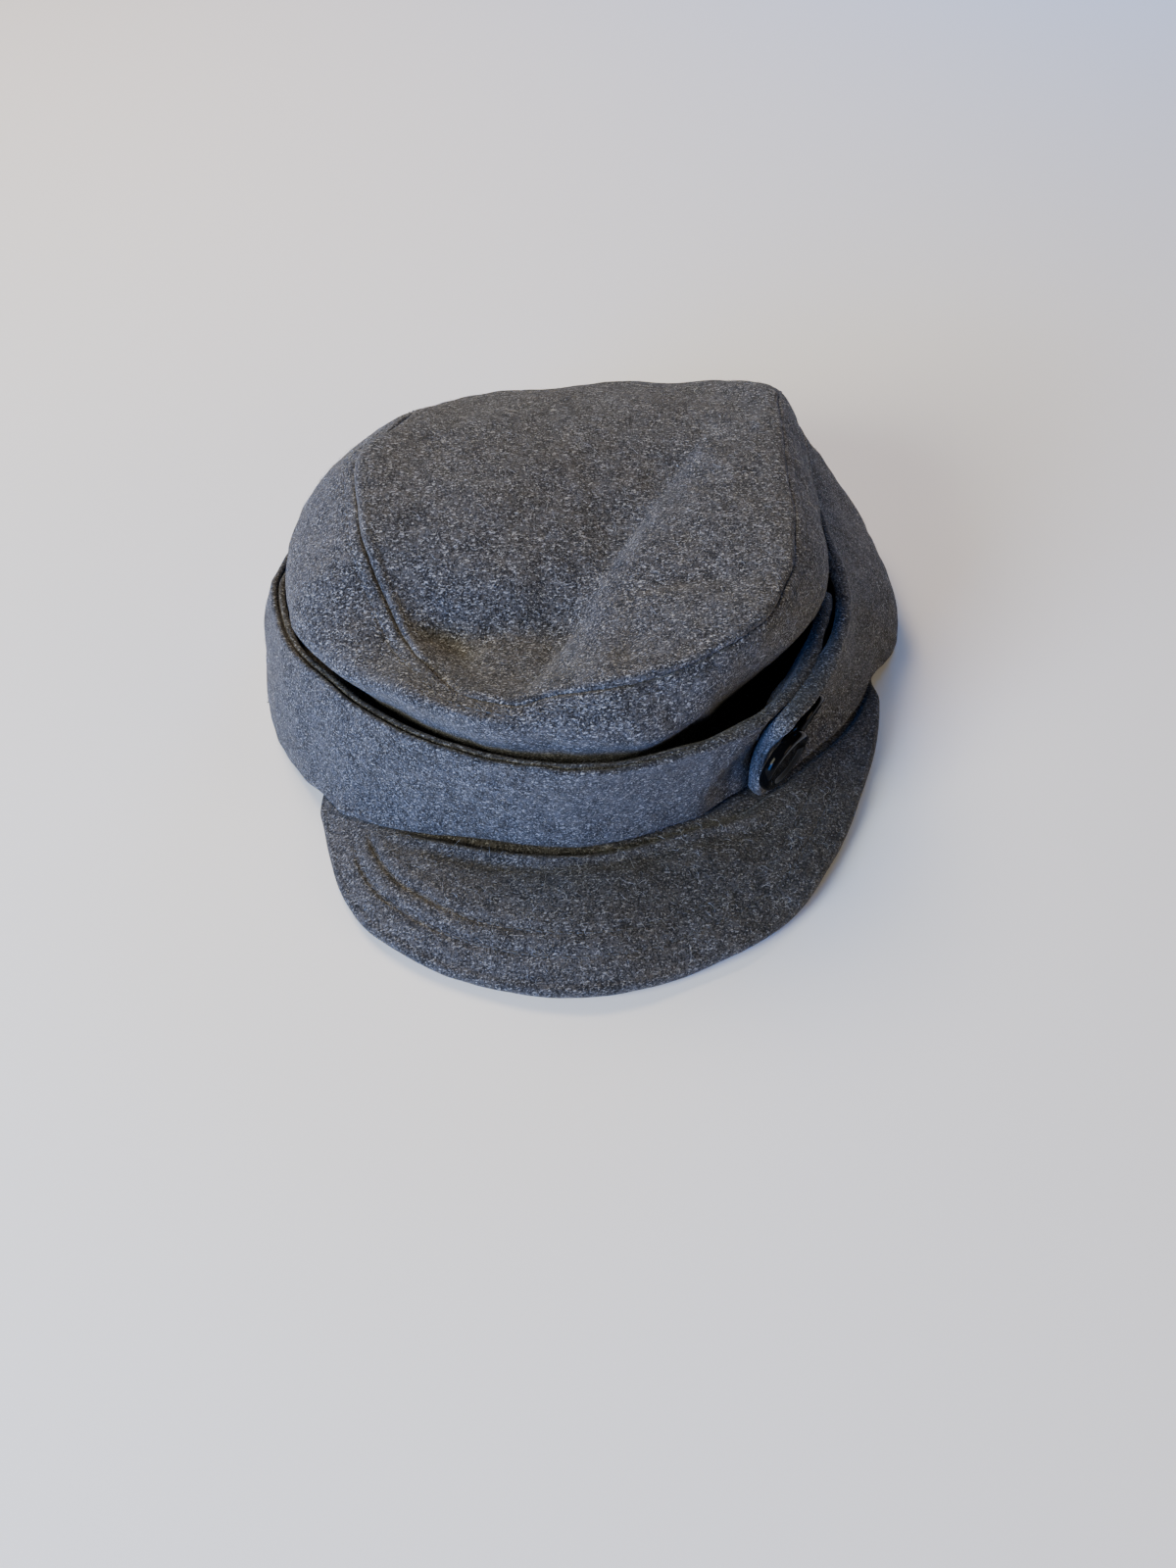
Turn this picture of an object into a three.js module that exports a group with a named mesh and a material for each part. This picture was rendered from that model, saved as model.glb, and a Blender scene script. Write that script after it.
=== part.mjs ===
// A grey wool cadet cap lying on a table: a soft crown of two panels, a turned-up band that
// laps over its own start, a short peak, and two buttons on the lap.
//
// Millimetres, +Z up, the peak towards -Y. Angles go round the head opening in degrees:
// 0 at the peak, 90 at +X, 180 at the back and -90 at -X.

import * as THREE from 'three';

// Driving dimensions
const CLOTH = 2.4;               // crown panels, one layer of fulled wool
const BAND = 4.8;                // band, two layers folded at the rim
const VISOR = 4.6;               // peak, two layers over an interlining
const CLEAR = 0.5;               // space between cloth that is sewn together or lies on other cloth
const PEAK_HEIGHT = 83;          // middle of the crown above the table
const WAIST_HEIGHT = 40;         // where the crown is drawn in behind the band
const SHOULDER = 0.72;           // where the top panel stops turning over, as a share of its radius
const HEM_LIFT = 2.2;            // the hem of the crown lies this far above the hem of the band
const LAP = { start: 70, end: 23, free: 12, radius: 10 };   // degrees; rounded corners in mm
const LAP_DRAW = 1.5;            // layers of band by which the lap draws in the crown
const RIDGE = { height: 1.1, offset: 2.6, width: 1.9 };   // rolled seam along the root of the peak
const PEAK_ARCH = 0.056;         // rise of the peak's middle, as a share of its reach
const PEAK_TUCK = 3.6;           // how far its root goes in under a single band
const BUTTON = { diameter: 20.4, thickness: 3.4, rim: 2.4, dish: 0.8, bevel: 0.8, stem: 3.2 };

// Grid counts
const ROUND = 60;                // steps round the crown
const WALL_STEPS = 7;            // from the hem to the top seam
const TOP_STEPS = 12;            // from the top seam to the middle
const BAND_STEPS = 66;           // along the band
const VISOR_STEPS = 32;          // along the peak

// Outer face of the band: radius and height of its hem and rim, and its radius half way up.
const RING = [
  { angle: -180, hem: 103.0, hemZ: 0.0, mid: 99.5, rim: 92.0, rimZ: 44.0 },
  { angle: -120, hem: 107.5, hemZ: 0.0, mid: 104.0, rim: 93.0, rimZ: 42.5 },
  { angle: -102, hem: 108.6, hemZ: 0.0, mid: 105.6, rim: 97.0, rimZ: 43.6 },
  { angle: -90, hem: 109.0, hemZ: 0.0, mid: 106.7, rim: 101.2, rimZ: 44.8 },
  { angle: -75, hem: 109.0, hemZ: 2.0, mid: 106.3, rim: 100.6, rimZ: 45.8 },
  { angle: -60, hem: 106.4, hemZ: 7.0, mid: 102.8, rim: 96.6, rimZ: 46.8 },
  { angle: -30, hem: 96.3, hemZ: 13.9, mid: 96.4, rim: 95.6, rimZ: 50.2 },
  { angle: -8, hem: 93.0, hemZ: 14.8, mid: 93.0, rim: 96.2, rimZ: 50.8 },
  { angle: 12, hem: 88.4, hemZ: 14.6, mid: 89.6, rim: 93.2, rimZ: 50.4 },
  { angle: 23, hem: 90.0, hemZ: 14.2, mid: 91.4, rim: 97.0, rimZ: 49.8 },
  { angle: 30, hem: 88.6, hemZ: 13.4, mid: 86.8, rim: 95.2, rimZ: 49.0 },
  { angle: 42, hem: 88.0, hemZ: 11.5, mid: 79.6, rim: 90.4, rimZ: 47.2 },
  { angle: 56, hem: 91.0, hemZ: 8.8, mid: 84.5, rim: 85.8, rimZ: 45.4 },
  { angle: 70, hem: 94.0, hemZ: 5.2, mid: 88.5, rim: 83.0, rimZ: 44.4 },
  { angle: 90, hem: 109.0, hemZ: 0.0, mid: 101.5, rim: 79.0, rimZ: 43.0 },
  { angle: 105, hem: 110.5, hemZ: 0.0, mid: 105.5, rim: 81.6, rimZ: 43.0 },
  { angle: 115, hem: 111.0, hemZ: 0.0, mid: 110.5, rim: 88.6, rimZ: 45.0 },
  { angle: 125, hem: 110.0, hemZ: 0.0, mid: 111.5, rim: 97.6, rimZ: 49.0 },
  { angle: 137, hem: 107.5, hemZ: 0.0, mid: 108.0, rim: 98.6, rimZ: 50.0 },
  { angle: 152, hem: 104.0, hemZ: 0.0, mid: 102.0, rim: 94.6, rimZ: 47.0 },
];

// Outer side of the crown above its hem: radius of the waist, then radius and height of the
// bulge over the rim and of the top seam, and the height of the top panel at its shoulder.
const CROWN = [
  { angle: -150, waist: 85.6, bulge: 84.0, bulgeZ: 50, seam: 72.5, seamZ: 65, topZ: 74 },
  { angle: -120, waist: 86.2, bulge: 88.2, bulgeZ: 56.5, seam: 65.5, seamZ: 78, topZ: 81 },
  { angle: -100, waist: 88.6, bulge: 92.4, bulgeZ: 56.5, seam: 71.0, seamZ: 80, topZ: 82 },
  { angle: -87, waist: 89.5, bulge: 94.6, bulgeZ: 56, seam: 70.1, seamZ: 79, topZ: 82 },
  { angle: -73, waist: 88.0, bulge: 97.0, bulgeZ: 56, seam: 72.3, seamZ: 76.5, topZ: 80.5 },
  { angle: -61, waist: 86.6, bulge: 95.2, bulgeZ: 56.5, seam: 73.6, seamZ: 67.5, topZ: 77 },
  { angle: -52, waist: 86.0, bulge: 93.8, bulgeZ: 58.5, seam: 76.2, seamZ: 62.5, topZ: 74.5 },
  { angle: -44, waist: 86.0, bulge: 92.4, bulgeZ: 62.5, seam: 79.8, seamZ: 62.7, topZ: 73.5 },
  { angle: -31, waist: 86.0, bulge: 93.4, bulgeZ: 64.5, seam: 86.2, seamZ: 64.5, topZ: 72 },
  { angle: -22, waist: 85.5, bulge: 91.8, bulgeZ: 63, seam: 86.5, seamZ: 66, topZ: 72.5 },
  { angle: -15, waist: 85.0, bulge: 89.0, bulgeZ: 62, seam: 83.4, seamZ: 68.4, topZ: 74 },
  { angle: 0, waist: 83.0, bulge: 88.5, bulgeZ: 56, seam: 82.0, seamZ: 71.5, topZ: 78 },
  { angle: 30, waist: 64.0, bulge: 77.0, bulgeZ: 57, seam: 77.3, seamZ: 75, topZ: 80 },
  { angle: 45, waist: 61.0, bulge: 76.3, bulgeZ: 57, seam: 71.0, seamZ: 75.5, topZ: 80.5 },
  { angle: 62, waist: 69.0, bulge: 75.6, bulgeZ: 56.5, seam: 64.2, seamZ: 75.5, topZ: 80.5 },
  { angle: 85, waist: 72.0, bulge: 73.0, bulgeZ: 55.5, seam: 60.0, seamZ: 76, topZ: 81 },
  { angle: 105, waist: 73.5, bulge: 78.5, bulgeZ: 54, seam: 66.0, seamZ: 75.5, topZ: 80 },
  { angle: 115, waist: 79.5, bulge: 86.0, bulgeZ: 54, seam: 73.0, seamZ: 74, topZ: 78 },
  { angle: 125, waist: 86.2, bulge: 92.0, bulgeZ: 53, seam: 81.5, seamZ: 71, topZ: 76 },
  { angle: 137, waist: 88.5, bulge: 92.0, bulgeZ: 52, seam: 81.0, seamZ: 66, topZ: 73.5 },
  { angle: 152, waist: 87.0, bulge: 87.0, bulgeZ: 50, seam: 77.0, seamZ: 61, topZ: 71 },
  { angle: 180, waist: 85.2, bulge: 83.2, bulgeZ: 48, seam: 72.5, seamZ: 60, topZ: 71 },
];

// How far the peak reaches out from the hem of the band.
const PEAK = [
  { angle: -62, reach: 0.6 },
  { angle: -56, reach: 5.9 },
  { angle: -50, reach: 14.6 },
  { angle: -43, reach: 26.0 },
  { angle: -36, reach: 34.4 },
  { angle: -24, reach: 41.0 },
  { angle: -8, reach: 44.2 },
  { angle: 10, reach: 41.4 },
  { angle: 25, reach: 31.2 },
  { angle: 40, reach: 21.2 },
  { angle: 55, reach: 11.6 },
  { angle: 68, reach: 5.4 },
  { angle: 77, reach: 0.8 },
];

// Folds pressed into the top: middle, turn, half length, half width of the left and the right
// slope, depth, and how round the bottom is.
const FOLDS = [
  { name: 'valley across the front left', x: -46, y: -46, turn: -6, length: 34, left: 8, right: 17,
    depth: 10.0, round: 0.25 },
  { name: 'diagonal valley', x: 6, y: -24, turn: 55, length: 50, left: 24, right: 6.5,
    depth: 5.5, round: 0.25 },
  { name: 'wide sag along it', x: 8, y: -20, turn: 55, length: 58, left: 30, right: 28,
    depth: 6.5, round: 0.3 },
  { name: 'right hollow', x: 20, y: -54, turn: -5, length: 20, left: 6, right: 5,
    depth: 2.4, round: 0.3 },
  { name: 'front pleat', x: 3, y: -78, turn: 75, length: 13, left: 5, right: 8,
    depth: 3.0, round: 0.4 },
];

// Buttons: middle of the outer face, the way it faces round the cap, how far it looks down, and
// the length of thread that it stands off the cloth.
const BUTTONS = [
  { name: 'button_front', x: 45.6, y: -85.2, z: 35.0, facing: 42, down: 7, shank: 1.6 },
  { name: 'button_rear', x: 55.8, y: -68.1, z: 31.2, facing: 49, down: 15, shank: 1.2 },
];

const rad = THREE.MathUtils.degToRad;

const spread = (from, to, count) => (
  Array.from({ length: count + 1 }, (_, i) => from + ((to - from) * i) / count)
);

// Smooth value of one table column at an angle, without overshoot between the rows: a cubic
// whose slope at a row is the harmonic mean of the slopes on its two sides. A table that goes
// all the way round wraps.
function column(rows, key, angle, wraps) {
  const n = rows.length;
  const at = (i) => {
    const turns = wraps ? Math.floor(i / n) : 0;
    const row = rows[wraps ? i - turns * n : Math.min(Math.max(i, 0), n - 1)];
    return { angle: row.angle + 360 * turns, value: row[key] };
  };
  const slope = (i) => (at(i + 1).value - at(i).value) / (at(i + 1).angle - at(i).angle || 1);
  const tangent = (i) => {
    const before = slope(i - 1);
    const after = slope(i);
    return before * after > 0 ? (2 * before * after) / (before + after) : 0;
  };
  let i = 0;
  while (wraps && at(i).angle > angle) i -= 1;
  while ((wraps || i < n - 2) && at(i + 1).angle < angle) i += 1;
  const span = at(i + 1).angle - at(i).angle;
  const t = THREE.MathUtils.clamp((angle - at(i).angle) / span, 0, 1);
  const t2 = t * t;
  const t3 = t2 * t;
  return (2 * t3 - 3 * t2 + 1) * at(i).value + (t3 - 2 * t2 + t) * span * tangent(i)
    + (3 * t2 - 2 * t3) * at(i + 1).value + (t3 - t2) * span * tangent(i + 1);
}

const ring = (key, angle) => column(RING, key, angle, true);

// The same direction as an angle from -180 to 180.
const turned = (angle) => THREE.MathUtils.euclideanModulo(angle + 180, 360) - 180;

// How much of a second layer of band lies inside the outer one at an angle, from 0 to 1.
function lapDepth(angle) {
  const { smoothstep } = THREE.MathUtils;
  return smoothstep(angle, LAP.free, LAP.end) * (1 - smoothstep(angle, LAP.start, LAP.start + 20));
}

function polar(radius, angle, z) {
  return new THREE.Vector3(radius * Math.sin(rad(angle)), -radius * Math.cos(rad(angle)), z);
}

// A closed mesh from a row of closed sections, rows[i][j]. The last section joins the first one
// or, when the rows don't close, both are capped by a fan.
function gridMesh(rows, rowsClose) {
  const m = rows.length;
  const n = rows[0].length;
  const points = rows.flat();
  const index = [];
  const id = (i, j) => (i % m) * n + (j % n);
  const quad = (a, b, c, d) => index.push(a, b, c, a, c, d);
  for (let i = 0; i < (rowsClose ? m : m - 1); i += 1) {
    for (let j = 0; j < n; j += 1) {
      quad(id(i, j), id(i, j + 1), id(i + 1, j + 1), id(i + 1, j));
    }
  }
  if (!rowsClose) {
    for (const [i, flip] of [[0, true], [m - 1, false]]) {
      const middle = new THREE.Vector3();
      rows[i].forEach((p) => middle.addScaledVector(p, 1 / n));
      points.push(middle);
      for (let j = 0; j < n; j += 1) {
        const a = id(i, j);
        const b = id(i, j + 1);
        if (flip) index.push(points.length - 1, b, a);
        else index.push(points.length - 1, a, b);
      }
    }
  }
  return outward(points, index);
}

// Turns the faces round if the solid comes out inside out.
function outward(points, index) {
  let volume = 0;
  for (let k = 0; k < index.length; k += 3) {
    const [a, b, c] = [points[index[k]], points[index[k + 1]], points[index[k + 2]]];
    volume += a.dot(b.clone().cross(c));
  }
  if (volume < 0) index.reverse();
  const geometry = new THREE.BufferGeometry().setFromPoints(points);
  geometry.setIndex(index);
  geometry.computeVertexNormals();
  return geometry;
}

// Crown

// Height of the top panel, u from 0 at its middle to 1 at its shoulder: a smooth film spanned by
// the ring of shoulder heights, as waves round the ring that fade towards the middle, and a dome.
const WAVES = 6;
const film = spread(0, WAVES, WAVES).map((k) => {
  const wave = { k, cos: 0, sin: 0 };
  for (let i = 0; i < ROUND; i += 1) {
    const angle = (360 * i) / ROUND;
    const share = (2 / ROUND) * column(CROWN, 'topZ', angle, true);
    wave.cos += share * Math.cos(rad(k * angle));
    wave.sin += share * Math.sin(rad(k * angle));
  }
  return wave;
});

function topHeight(u, angle) {
  const mean = film[0].cos / 2;
  let z = mean + (PEAK_HEIGHT - mean) * (1 - u * u);
  for (const { k, cos, sin } of film.slice(1)) {
    z += u ** k * (cos * Math.cos(rad(k * angle)) + sin * Math.sin(rad(k * angle)));
  }
  return z;
}

// One radial section of the crown: hem, waist, bulge, top seam, shoulder, half way in, middle,
// and half way out on the far side. These are its levels 0 to 7.
const sections = new Map();
function crownSection(angle) {
  if (!sections.has(angle)) {
    const c = (key, a = angle) => column(CROWN, key, a, true);
    const far = turned(angle + 180);
    const tuck = BAND + 2 * CLEAR + LAP_DRAW * lapDepth(turned(angle)) * (BAND + CLEAR);
    sections.set(angle, new THREE.CatmullRomCurve3([
      polar(ring('hem', angle) - tuck, angle, ring('hemZ', angle) + HEM_LIFT),
      polar(c('waist'), angle, WAIST_HEIGHT),
      polar(c('bulge'), angle, c('bulgeZ')),
      polar(c('seam'), angle, c('seamZ')),
      polar(SHOULDER * c('seam'), angle, topHeight(1, angle)),
      polar(0.5 * SHOULDER * c('seam'), angle, topHeight(0.5, angle)),
      new THREE.Vector3(0, 0, PEAK_HEIGHT),
      polar(0.5 * SHOULDER * c('seam', far), far, topHeight(0.5, far)),
    ], false, 'centripetal'));
  }
  return sections.get(angle);
}

// Depth of the folds at a point of the top. Each is a valley whose slopes fall off at their own
// widths from its line, and which fades along it.
function foldDepth(x, y) {
  let depth = 0;
  for (const f of FOLDS) {
    const [c, s] = [Math.cos(rad(f.turn)), Math.sin(rad(f.turn))];
    const along = (x - f.x) * c + (y - f.y) * s;
    const across = (y - f.y) * c - (x - f.x) * s;
    const share = across / (across > 0 ? f.left : f.right);
    const slope = Math.exp(f.round - Math.hypot(share, f.round));
    depth += f.depth * slope * Math.exp(-((along / f.length) ** 2));
  }
  return depth;
}

function crownOuter(angle, level) {
  const p = crownSection(angle).getPoint(level / 7);
  const onTop = THREE.MathUtils.smoothstep(level, 2.95, 3.7);
  p.z -= onTop * foldDepth(p.x, p.y);
  return p;
}

// The inner side lies one thickness of cloth in from the outer side, along its normal.
function crownPoint(angle, level, depth) {
  const step = 0.02;
  const round = 1;
  const p = crownOuter(angle, level);
  if (depth === 0) return p;
  const up = crownOuter(angle, level + step).sub(crownOuter(angle, Math.max(level - step, 0)));
  const along = crownOuter(angle + round, level).sub(crownOuter(angle - round, level));
  const normal = along.cross(up).normalize();
  return p.addScaledVector(normal, -depth);
}

// A panel between two levels, with its two faces and square edges.
function crownPanel(levels, hasMiddle) {
  const inner = [...levels].reverse();
  const rows = [];
  for (let i = 0; i < ROUND; i += 1) {
    const angle = -180 + (360 * i) / ROUND;
    rows.push([
      ...levels.map((level) => crownPoint(angle, level, 0)),
      ...inner.map((level) => crownPoint(angle, level, CLOTH)),
    ]);
  }
  return hasMiddle ? withMiddle(rows, levels.length) : gridMesh(rows, true);
}

// The top panel comes together in one point on each face.
function withMiddle(rows, count) {
  const m = rows.length;
  const n = rows[0].length;
  const points = rows.flat();
  const depth = foldDepth(0, 0);
  const top = points.push(new THREE.Vector3(0, 0, PEAK_HEIGHT - depth)) - 1;
  const under = points.push(new THREE.Vector3(0, 0, PEAK_HEIGHT - depth - CLOTH)) - 1;
  const index = [];
  const id = (i, j) => (i % m) * n + (j % n);
  for (let i = 0; i < m; i += 1) {
    for (let j = 0; j < n; j += 1) {
      if (j === count - 1) {
        index.push(id(i, j), top, id(i + 1, j));
        index.push(id(i, j + 1), id(i + 1, j + 1), under);
      } else {
        index.push(id(i, j), id(i, j + 1), id(i + 1, j + 1));
        index.push(id(i, j), id(i + 1, j + 1), id(i + 1, j));
      }
    }
  }
  return outward(points, index);
}

// Both panels stop a fiftieth of a level, about 0.3 mm, short of the top seam.
const SEAM_LEVEL = 3;
const SEAM_SHARE = 0.02;
const LAST_RING = 5.8;

function crownSideGeometry() {
  return crownPanel(spread(0, SEAM_LEVEL - SEAM_SHARE, WALL_STEPS), false);
}

function crownTopGeometry() {
  return crownPanel(spread(SEAM_LEVEL + SEAM_SHARE, LAST_RING, TOP_STEPS), true);
}

// Band

// Outer face of the band at a height from 0 at the hem to 1 at the rim, as a quadratic through
// the hem, the middle and the rim. The strip starts inside the lap, at a positive angle, runs
// past the peak to -X, round the back, and ends on top of its own start, past -180. Its first
// stretch lies one layer further in.
function bandOuter(angle, height) {
  const [hem, mid, rim] = [ring('hem', angle), ring('mid', angle), ring('rim', angle)];
  const inside = angle > 0 ? lapDepth(angle) * (BAND + CLEAR) : 0;
  const r = hem * (1 - height) * (1 - 2 * height) + 4 * mid * height * (1 - height)
    + rim * height * (2 * height - 1);
  const z = ring('hemZ', angle) + (ring('rimZ', angle) - ring('hemZ', angle)) * height;
  return polar(r - inside, angle, z);
}

// The inner face is one thickness away, measured across the slope of the wall.
function bandInner(angle, height) {
  const step = 0.05;
  const above = bandOuter(angle, Math.min(height + step, 1));
  const below = bandOuter(angle, Math.max(height - step, 0));
  const slope = (Math.hypot(above.x, above.y) - Math.hypot(below.x, below.y)) / (above.z - below.z);
  const across = BAND * Math.min(Math.hypot(1, slope), 1.3);
  return bandOuter(angle, height).add(polar(-across, angle, 0));
}

// Closed cross-section of the band: up the outer face, over the folded rim, down the inner face.
// low and high cut the strip down towards its rounded end.
const ROLL = 0.22;               // height of the folded rim, as a share of the thickness
function bandSection(angle, low, high) {
  const heights = spread(low, high, 5);
  const outer = heights.map((h) => bandOuter(angle, h));
  const inner = heights.map((h) => bandInner(angle, h)).reverse();
  const crest = outer[outer.length - 1].clone().lerp(inner[0], 0.5);
  crest.z += ROLL * BAND;
  return [...outer, crest, ...inner];
}

// The whole strip, then its end, where the corners are cut round by the lap's radius.
function bandGeometry() {
  const end = LAP.end - 360;
  const endSpan = THREE.MathUtils.radToDeg(LAP.radius / ring('rim', end));
  const rows = spread(LAP.start, end + endSpan, BAND_STEPS).map((angle) => bandSection(angle, 0, 1));
  const tall = ring('rimZ', end) - ring('hemZ', end);
  for (const t of [0.7, 0.45, 0.25, 0.1, 0]) {
    const cut = (LAP.radius * (1 - Math.sqrt(1 - (1 - t) ** 2))) / tall;
    rows.push(bandSection(end + endSpan * t, cut, 1 - 0.6 * cut));
  }
  return gridMesh(rows, false);
}

// Peak

// Top surface of the peak at a distance out from the hem of the band, with the rolled seam near
// its root.
function peakTop(angle, out) {
  const reach = column(PEAK, 'reach', angle, false);
  const rootZ = ring('hemZ', angle) - CLEAR;
  const fall = Math.max(rootZ - VISOR, 0);
  const share = THREE.MathUtils.clamp(out / reach, 0, 1);
  const arch = 4 * PEAK_ARCH * reach * share * (1 - share);
  const from = (out - RIDGE.offset) / RIDGE.width;
  const ridge = RIDGE.height * Math.exp(-from * from) * THREE.MathUtils.smoothstep(reach, 4, 12);
  return polar(ring('hem', angle) + out, angle, rootZ - fall * share + arch + ridge);
}

// Rows across the peak, as shares of its reach, closer together at the rolled seam.
const PEAK_ROWS = [0, 0.03, 0.06, 0.1, 0.2, 0.4, 0.65, 0.88];

// The lower side runs parallel to the top one until it meets the table.
const underPeak = (p) => new THREE.Vector3(p.x, p.y, Math.max(p.z - VISOR, 0.02));

function peakGeometry() {
  const rows = [];
  for (const angle of spread(PEAK[0].angle, PEAK[PEAK.length - 1].angle, VISOR_STEPS)) {
    const reach = column(PEAK, 'reach', angle, false);
    const tuck = PEAK_TUCK + lapDepth(angle) * BAND;
    const root = peakTop(angle, 0).add(polar(-tuck, angle, 0));
    const top = PEAK_ROWS.map((share) => peakTop(angle, share * reach));
    const edge = peakTop(angle, reach);
    edge.lerp(underPeak(edge), 0.5);
    const under = [root, top[0], top[4], top[6], top[7]].map(underPeak).reverse();
    rows.push([root, ...top, edge, ...under]);
  }
  return gridMesh(rows, false);
}

// Buttons

// A turned disc with a bevelled edge, a raised rim and a shallow dish.
function buttonGeometry(shank) {
  const r = BUTTON.diameter / 2;
  const t = BUTTON.thickness;
  const profile = [
    [0, -t - shank],
    [BUTTON.stem, -t - shank],
    [BUTTON.stem, -t],
    [r - BUTTON.bevel, -t],
    [r, -t + BUTTON.bevel],
    [r, -BUTTON.bevel],
    [r - 0.4 * BUTTON.bevel, -0.25 * BUTTON.bevel],
    [r - BUTTON.bevel, 0],
    [r - BUTTON.rim, -0.2 * BUTTON.dish],
    [r - BUTTON.rim - 1.4, -BUTTON.dish],
    [0, -BUTTON.dish],
  ];
  return new THREE.LatheGeometry(profile.map(([x, y]) => new THREE.Vector2(x, y)), 20);
}

// Materials

const wool = (color) => new THREE.MeshStandardMaterial({ color, roughness: 0.95, metalness: 0 });
const crownWool = wool(0x5a5a5f);
const bandWool = wool(0x55565c);
const visorWool = wool(0x504f52);
const blackGloss = new THREE.MeshStandardMaterial({ color: 0x0b0b0c, roughness: 0.12, metalness: 0 });

// Assembly

function piece(name, geometry, material) {
  const mesh = new THREE.Mesh(geometry, material);
  mesh.name = name;
  return mesh;
}

const cap = new THREE.Group();
cap.add(piece('crown_top', crownTopGeometry(), crownWool));
cap.add(piece('crown_side', crownSideGeometry(), crownWool));
cap.add(piece('band', bandGeometry(), bandWool));
cap.add(piece('visor', peakGeometry(), visorWool));

for (const b of BUTTONS) {
  const button = piece(b.name, buttonGeometry(b.shank), blackGloss);
  const normal = polar(Math.cos(rad(b.down)), b.facing, -Math.sin(rad(b.down)));
  button.quaternion.setFromUnitVectors(new THREE.Vector3(0, 1, 0), normal);
  button.position.set(b.x, b.y, b.z);
  cap.add(button);
}

// The origin is the middle of the cap's footprint on the table.
cap.updateMatrixWorld(true);
const size = new THREE.Box3().setFromObject(cap, true);
const centre = size.getCenter(new THREE.Vector3());
cap.position.set(-centre.x, -centre.y, -size.min.z);

export default cap;
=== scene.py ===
"""A grey wool cadet cap lying on a pale table: a soft crown of two panels, a turned-up band that
laps over its own start, a short peak, and two glossy buttons on the lap.

The tables below are in millimetres and degrees, about the middle of the head opening: +Z up, the
peak towards -Y. Angles go round the opening, 0 at the peak, 90 at +X, 180 at the back.
"""

import bpy
import numpy as np
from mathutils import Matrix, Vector


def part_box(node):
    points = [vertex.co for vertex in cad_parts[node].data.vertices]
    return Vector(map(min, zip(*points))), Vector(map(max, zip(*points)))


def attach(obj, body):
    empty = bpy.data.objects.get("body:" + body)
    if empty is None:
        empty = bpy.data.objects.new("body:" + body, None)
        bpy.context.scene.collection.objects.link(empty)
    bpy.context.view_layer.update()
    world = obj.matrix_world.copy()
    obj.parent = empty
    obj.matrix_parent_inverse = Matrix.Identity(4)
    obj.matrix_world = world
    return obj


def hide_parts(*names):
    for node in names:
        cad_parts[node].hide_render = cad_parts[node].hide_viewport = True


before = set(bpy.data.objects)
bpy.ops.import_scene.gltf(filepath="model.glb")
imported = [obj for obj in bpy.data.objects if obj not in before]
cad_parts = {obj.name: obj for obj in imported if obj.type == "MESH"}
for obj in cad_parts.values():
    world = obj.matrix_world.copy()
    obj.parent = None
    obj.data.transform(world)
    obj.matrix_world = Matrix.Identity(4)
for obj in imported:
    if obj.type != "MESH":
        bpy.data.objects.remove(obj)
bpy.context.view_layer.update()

MM = 0.001

# Sizes of the cloth and the forms, as in the solids

CLOTH = 2.4                 # crown panels, one layer of fulled wool
BAND = 4.8                  # band, two layers folded at the rim
VISOR = 4.6                 # peak, two layers over an interlining
CLEAR = 0.5                 # space between cloth that is sewn together or lies on other cloth
CROWN_HEIGHT = 83           # middle of the crown above the table
WAIST_HEIGHT = 40           # where the crown is drawn in behind the band
WAIST_DROP = 17             # the waist lies this much lower behind the lap
SHOULDER = 0.72             # where the top panel stops turning over, as a share of its radius
HEM_LIFT = 2.2              # the hem of the crown lies this far above the hem of the band
LAP_DRAW = 1.15             # layers of band by which the lap draws in the crown
PEAK_ARCH = 0.056           # rise of the peak's middle, as a share of its reach
PEAK_TUCK = 3.6             # how far its root goes in under a single band
ON_TABLE = 0.02             # the lowest that cloth comes to the table

# Angles of the lap: the strip of the band starts inside it at the first, comes out from under its
# own end at the second, and is back on the line of the single band at the third
LAP_START, LAP_END, LAP_FREE = 70, 23, 12


def table(names, rows):
    """A table as one array for each named column."""
    return dict(zip(names.split(), np.array(rows, float).T))


# Outer face of the band: radius and height of its hem and rim, and its radius half way up
RING = table("angle hem hem_z mid rim rim_z", [
    (-180, 103.0, 0.0, 99.5, 92.0, 44.0),
    (-120, 107.5, 0.0, 104.0, 93.0, 42.5),
    (-102, 108.6, 0.0, 105.6, 97.0, 43.6),
    (-90, 109.0, 0.0, 106.7, 101.2, 44.8),
    (-75, 109.0, 2.0, 106.3, 100.6, 45.8),
    (-60, 106.4, 7.0, 102.8, 96.6, 46.8),
    (-30, 96.3, 13.9, 96.4, 95.6, 50.2),
    (-8, 93.0, 14.8, 93.0, 96.2, 50.8),
    (12, 88.4, 14.6, 89.6, 93.2, 50.4),
    (23, 90.0, 14.2, 91.4, 97.0, 49.8),
    (30, 88.6, 13.4, 86.8, 95.2, 49.0),
    (42, 88.0, 11.5, 79.6, 90.4, 47.2),
    (56, 91.0, 8.8, 84.5, 85.8, 45.4),
    (70, 94.0, 5.2, 88.5, 83.0, 44.4),
    (90, 109.0, 0.0, 101.5, 79.0, 43.0),
    (105, 110.5, 0.0, 105.5, 81.6, 43.0),
    (115, 111.0, 0.0, 110.5, 88.6, 45.0),
    (125, 110.0, 0.0, 111.5, 97.6, 49.0),
    (137, 107.5, 0.0, 108.0, 98.6, 50.0),
    (152, 104.0, 0.0, 102.0, 94.6, 47.0),
])

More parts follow.
